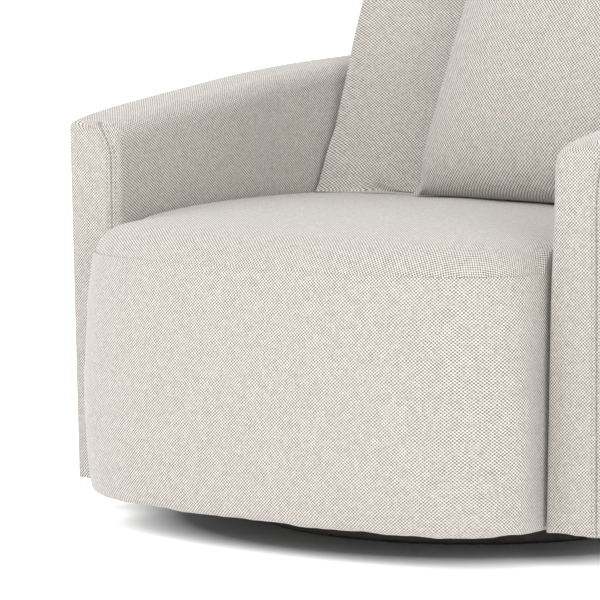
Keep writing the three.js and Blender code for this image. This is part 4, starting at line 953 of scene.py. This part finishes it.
# ------------ materials
class Shader:
    """A small hand for building one material's nodes."""

    def __init__(self, name):
        self.material = bpy.data.materials.new(name)
        self.material.use_nodes = True
        self.nodes = self.material.node_tree.nodes
        self.links = self.material.node_tree.links
        self.surface = self.nodes["Principled BSDF"]

    def add(self, kind, **inputs):
        node = self.nodes.new(kind)
        for key, value in inputs.items():
            self.put(node.inputs[key.replace("_", " ")], value)
        return node

    def put(self, socket, value):
        if isinstance(value, bpy.types.NodeSocket):
            self.links.new(value, socket)
        else:
            socket.default_value = value

    def math(self, operation, *values):
        node = self.nodes.new("ShaderNodeMath")
        node.operation = operation
        for k, value in enumerate(values):
            self.put(node.inputs[k], value)
        return node.outputs[0]

    def noise(self, vector, scale, detail=2.0):
        node = self.add("ShaderNodeTexNoise", Vector=vector, Scale=scale, Detail=detail)
        return node.outputs["Fac"]

    def colours(self, share, low, high):
        node = self.nodes.new("ShaderNodeMix")
        node.data_type = "RGBA"
        self.put(node.inputs["Factor"], share)
        self.put(node.inputs["A"], (*low, 1) if isinstance(low, tuple) else low)
        self.put(node.inputs["B"], (*high, 1) if isinstance(high, tuple) else high)
        return node.outputs["Result"]

    def between(self, value, low, high, to_low=0.0, to_high=1.0):
        node = self.add("ShaderNodeMapRange", Value=value)
        node.inputs["From Min"].default_value = low
        node.inputs["From Max"].default_value = high
        node.inputs["To Min"].default_value = to_low
        node.inputs["To Max"].default_value = to_high
        return node.outputs["Result"]

    def bump(self, height, distance, strength=1.0, normal=None):
        node = self.add("ShaderNodeBump", Height=height, Distance=distance, Strength=strength)
        if normal is not None:
            self.put(node.inputs["Normal"], normal)
        return node.outputs["Normal"]

    def set(self, **inputs):
        for key, value in inputs.items():
            self.put(self.surface.inputs[key.replace("_", " ")], value)

    def place(self):
        return self.nodes.new("ShaderNodeTexCoord").outputs["Object"]


WEAVE_ACROSS = 0.00246  # width of one warp yarn, metres
WEAVE_UP = 0.0022
WEAVE_SWAY = 0.0022  # how far the yarns wander
IVORY = (0.645, 0.618, 0.578)
# painted shade for the seam groove and its needle holes
NEEDLE_PAINTED_SHADE = (0.05, 0.044, 0.037)
TAUPE = (0.135, 0.12, 0.101)


def moved_vector(s, vector):
    """The same vector moved away, so that a second noise on it differs from the first."""
    node = s.nodes.new("ShaderNodeVectorMath")
    node.operation = "ADD"
    s.put(node.inputs[0], vector)
    s.put(node.inputs[1], (3.1, 7.3, 0.0))
    return node.outputs[0]


def yarns_along(s):
    """How many yarns across and up the cloth each spot lies; the yarns wander a little."""
    uv = s.nodes.new("ShaderNodeUVMap")
    uv.uv_map = "weave"
    place = uv.outputs["UV"]
    split = s.add("ShaderNodeSeparateXYZ", Vector=place)
    sway = s.noise(place, 38.0, 2.0)
    lean = s.noise(moved_vector(s, place), 38.0, 2.0)
    x = s.math("DIVIDE", s.math("MULTIPLY_ADD", sway, WEAVE_SWAY, split.outputs["X"]), WEAVE_ACROSS)
    y = s.math("DIVIDE", s.math("MULTIPLY_ADD", lean, WEAVE_SWAY, split.outputs["Y"]), WEAVE_UP)
    return x, y


def yarn_colour(s, x, y, over):
    """Warp where over is above nought and weft below it, each yarn uneven in shade."""
    column, row = s.math("FLOOR", x), s.math("FLOOR", y)
    warp_seat = s.add("ShaderNodeCombineXYZ", X=column, Y=s.math("MULTIPLY", y, 0.11))
    weft_seat = s.add("ShaderNodeCombineXYZ", X=s.math("MULTIPLY", x, 0.11), Y=row, Z=7.0)
    warp_shade = s.noise(warp_seat.outputs["Vector"], 1.3, 2.0)
    weft_shade = s.noise(weft_seat.outputs["Vector"], 1.3, 2.0)
    ivory = s.colours(s.between(warp_shade, 0.35, 0.75), IVORY, tuple(0.86 * c for c in IVORY))
    taupe = s.colours(s.between(weft_shade, 0.3, 0.7), tuple(1.45 * c for c in TAUPE), TAUPE)
    crossing = s.add("ShaderNodeCombineXYZ", X=column, Y=row).outputs["Vector"]
    fleck = s.add("ShaderNodeTexWhiteNoise", Vector=crossing).outputs["Value"]
    drift = s.between(fleck, 0, 1, -0.16, 0.16)
    return s.colours(s.between(s.math("ADD", over, drift), -0.35, 0.3), taupe, ivory)


def heavy_weave(name):
    """Heavy plain weave of ivory warp and taupe weft, drawn yarn by yarn."""
    s = Shader(name)
    x, y = yarns_along(s)
    over = s.math("MULTIPLY", s.math("SINE", s.math("MULTIPLY", x, math.pi)),
                  s.math("SINE", s.math("MULTIPLY", y, math.pi)))
    # painted shade: the cloth darkens in the seam groove and its needle holes, by the stored seam
    # attribute
    seam = s.nodes.new("ShaderNodeAttribute")
    seam.attribute_name = "seam"
    needle = s.math("MULTIPLY", seam.outputs["Fac"], 0.75)
    s.set(Base_Color=s.colours(needle, yarn_colour(s, x, y, over), NEEDLE_PAINTED_SHADE), Roughness=0.95)
    fuzz = s.noise(s.place(), 1400.0, 2.0)
    relief = s.math("MULTIPLY_ADD", fuzz, 0.35, s.math("ABSOLUTE", over))
    s.set(Normal=s.bump(relief, 0.0005, 0.5))
    s.set(Sheen_Weight=0.3, Sheen_Roughness=0.5, Specular_IOR_Level=0.15)
    return s.material


def painted_steel(name, colour, roughness, metallic, grain=900.0):
    s = Shader(name)
    speckle = s.noise(s.place(), grain, 3.0)
    broad = s.noise(s.place(), 12.0, 3.0)
    dark = tuple(0.75 * c for c in colour)
    light = tuple(min(1.18 * c, 1) for c in colour)
    s.set(Base_Color=s.colours(s.between(broad, 0.3, 0.7), dark, light), Metallic=metallic)
    s.set(Roughness=s.between(speckle, 0.3, 0.7, roughness - 0.08, roughness + 0.12))
    s.set(Normal=s.bump(speckle, 0.0001, 0.35))
    return s.material


def wood(name, light, dark, along, scale=1.0, roughness=0.6):
    """Grain that runs along one axis of the frame."""
    s = Shader(name)
    place = s.nodes.new("ShaderNodeMapping")
    s.put(place.inputs["Vector"], s.place())
    place.inputs["Scale"].default_value = tuple(6 if axis == along else 90 for axis in range(3))
    figure = s.noise(place.outputs["Vector"], scale, 5.0)
    pores = s.noise(place.outputs["Vector"], scale * 9, 2.0)
    tone = s.between(figure, 0.3, 0.7)
    s.set(Base_Color=s.colours(tone, dark, light))
    s.set(Roughness=s.between(pores, 0.3, 0.7, roughness - 0.1, roughness + 0.15))
    s.set(Normal=s.bump(s.math("MULTIPLY_ADD", pores, 0.5, figure), 0.0004, 0.4))
    return s.material


def soft_surface(name, light, dark, scale, depth, roughness=1.0, sheen=0.0):
    """Felt, foam, rubber or spun cloth: a mottled colour over a fine uneven surface."""
    s = Shader(name)
    fine = s.noise(s.place(), scale, 4.0)
    broad = s.noise(s.place(), scale / 25, 2.0)
    tone = s.math("MULTIPLY_ADD", broad, 0.5, s.math("MULTIPLY", fine, 0.5))
    s.set(Base_Color=s.colours(s.between(tone, 0.35, 0.65), dark, light))
    s.set(Roughness=roughness, Sheen_Weight=sheen)
    s.set(Normal=s.bump(fine, depth, 0.7))
    return s.material


# ------------ plinth
PLINTH_RADIUS = 307
PLINTH_BOTTOM = 3.3
PLINTH_TOP = 40
PLINTH_HOLE = 15
PLINTH_EASE = 3  # radius of its eased edges
PLINTH_TURNS = 192


def plinth_profile():
    """(radius, height) round the plinth's section, from the hole's foot to its top."""
    profile = [(PLINTH_HOLE, PLINTH_BOTTOM)]
    for height, start in ((PLINTH_BOTTOM + PLINTH_EASE, -90), (PLINTH_TOP - PLINTH_EASE, 0)):
        for step in range(5):
            angle = math.radians(start + step * 22.5)
            radius = PLINTH_RADIUS - PLINTH_EASE + PLINTH_EASE * math.cos(angle)
            profile.append((radius, height + PLINTH_EASE * math.sin(angle)))
    return profile + [(PLINTH_HOLE, PLINTH_TOP)]


def add_plinth(material):
    """The round plinth, turned, with eased edges."""
    profile = plinth_profile()
    count = len(profile)
    points, faces = [], []
    for k in range(PLINTH_TURNS):
        angle = 2 * math.pi * k / PLINTH_TURNS
        for radius, height in profile:
            points.append((radius * math.cos(angle), radius * math.sin(angle), height))
    for k in range(PLINTH_TURNS):
        this, following = k * count, (k + 1) % PLINTH_TURNS * count
        for i in range(count):
            up = (i + 1) % count
            faces.append((this + i, following + i, following + up, this + up))
    plinth = outward(make_object("base_plinth_turned", points, faces))
    sharp_shading(plinth)
    dress(plinth, material, "base", "plinth_stain", "base_plinth")


def sharp_shading(made, degrees=32):
    modifier = made.modifiers.new("split", "EDGE_SPLIT")
    modifier.split_angle = math.radians(degrees)


# ------------ carried-over CAD nodes
def finish_cad_nodes():
    pine_x = wood("pine_across", (0.62, 0.45, 0.28), (0.42, 0.27, 0.14), 0)
    pine_z = wood("pine_upright", (0.62, 0.45, 0.28), (0.42, 0.27, 0.14), 2)
    zinc = painted_steel("zinc", (0.55, 0.56, 0.58), 0.38, 0.9)
    bracket = painted_steel("black_bracket", (0.03, 0.03, 0.032), 0.5, 0.3)
    spring = painted_steel("spring_wire", (0.12, 0.12, 0.13), 0.4, 0.8)
    bolt = painted_steel("bolt_steel", (0.07, 0.07, 0.075), 0.42, 0.8)
    felt = soft_surface("floor_felt_fibre", (0.05, 0.05, 0.052), (0.02, 0.02, 0.021), 1500, 0.0004)
    deck = soft_surface("deck_felt_fibre", (0.32, 0.30, 0.27), (0.16, 0.15, 0.14), 900, 0.0006)
    dust = soft_surface("dust_cloth", (0.035, 0.035, 0.037), (0.012, 0.012, 0.013), 1100, 0.0002)
    foam = soft_surface("seat_foam_cells", (0.86, 0.78, 0.52), (0.74, 0.65, 0.38), 700, 0.0009)
    rubber = soft_surface("bumper_rubber", (0.03, 0.03, 0.03), (0.014, 0.014, 0.014), 800, 0.0001, 0.6)
    glide = soft_surface("glide_plastic", (0.03, 0.03, 0.03), (0.015, 0.015, 0.015), 600, 0.0001, 0.45)
    finishes = {
        "frame_post": pine_z, "frame_": pine_x, "seat_front_rail": pine_x, "seat_side_rail": pine_x,
        "seat_rear_rail": pine_x, "seat_spring": spring, "seat_deck": deck, "seat_foam": foam,
        "dust_cover": dust, "floor_felt": felt, "stop_bumper": rubber, "arm_glide": glide,
        "hanger": bracket, "glide_rail": bracket, "pivot_": bolt, "rail_bolt": bolt,
        "link_": zinc, "top_pin": zinc, "bottom_pin": zinc, "bearing_": zinc, "ball_cage": zinc,
    }
    for name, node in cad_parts.items():
        finish = next((value for key, value in finishes.items() if name.startswith(key)), None)
        if finish is None:
            continue
        for slot in node.material_slots:
            slot.material = finish
        if not node.material_slots:
            node.data.materials.append(finish)
        smooth_faces(node)
        sharp_shading(node)


# ------------ stage
# painted light: beyond a ring round the chair the floor glows like a lamp, which bleaches the chair's
# shadow there and gives it a painted edge
FLOOR_PAINTED_GLOW = 0.5
PAINTED_GLOW_REACH = (0.40, 0.49)  # metres from the middle where the painted glow starts and is full
FLOOR_REACH = 60000
SKY_STRENGTH = 1.25
LIGHT_AIM = (0, 0, 0.35)
LIGHTS = (
    # name, place and size in metres, power in watts
    ("key", (-0.9, -4.5, 4.2), 3.2, 95),
    ("fill", (4.4, -2.2, 2.0), 2.6, 60),
)


def add_floor():
    corners = [(x * FLOOR_REACH, y * FLOOR_REACH, 0) for x, y in ((-1, -1), (1, -1), (1, 1), (-1, 1))]
    floor = make_object("floor", corners, [(0, 1, 2, 3)])
    s = Shader("floor_white_painted_glow")
    s.set(Base_Color=(0.85, 0.85, 0.85, 1), Roughness=0.9, Specular_IOR_Level=0.1)
    away = s.nodes.new("ShaderNodeVectorMath")
    away.operation = "LENGTH"
    s.put(away.inputs[0], s.place())
    # painted light: the floor's glow is nought near the middle and full beyond the ring
    painted_glow = s.between(away.outputs["Value"], *PAINTED_GLOW_REACH, 0.0, FLOOR_PAINTED_GLOW)
    s.set(Emission_Color=(1, 1, 1, 1), Emission_Strength=painted_glow)
    floor.data.materials.append(s.material)


def add_light():
    world = bpy.data.worlds.new("studio")
    bpy.context.scene.world = world
    world.use_nodes = True
    background = world.node_tree.nodes["Background"]
    background.inputs["Color"].default_value = (1, 1, 1, 1)
    background.inputs["Strength"].default_value = SKY_STRENGTH
    for name, place, size, power in LIGHTS:
        data = bpy.data.lights.new(name, "AREA")
        data.shape = "DISK"
        data.size = size
        data.energy = power
        lamp = bpy.data.objects.new(name, data)
        bpy.context.scene.collection.objects.link(lamp)
        lamp.location = place
        aim = Vector(LIGHT_AIM) - Vector(place)
        lamp.rotation_euler = aim.to_track_quat("-Z", "Y").to_euler()
    bpy.context.scene.view_settings.view_transform = "Standard"


# ------------ assembly
add_camera()
add_light()
add_floor()
finish_cad_nodes()
upholstery = heavy_weave("oatmeal_weave")
plinth_finish = wood("plinth_stained", (0.10, 0.085, 0.07), (0.045, 0.038, 0.032), 0, 0.6, 0.45)
add_plinth(plinth_finish)
add_shell(upholstery)
for arm_side in (-1, 1):
    add_arm_front(arm_side, upholstery)
add_front_band(upholstery)
add_seat_top(upholstery)
add_back_cushion(upholstery)
add_throw_pillow(upholstery)

bpy.context.view_layer.update()
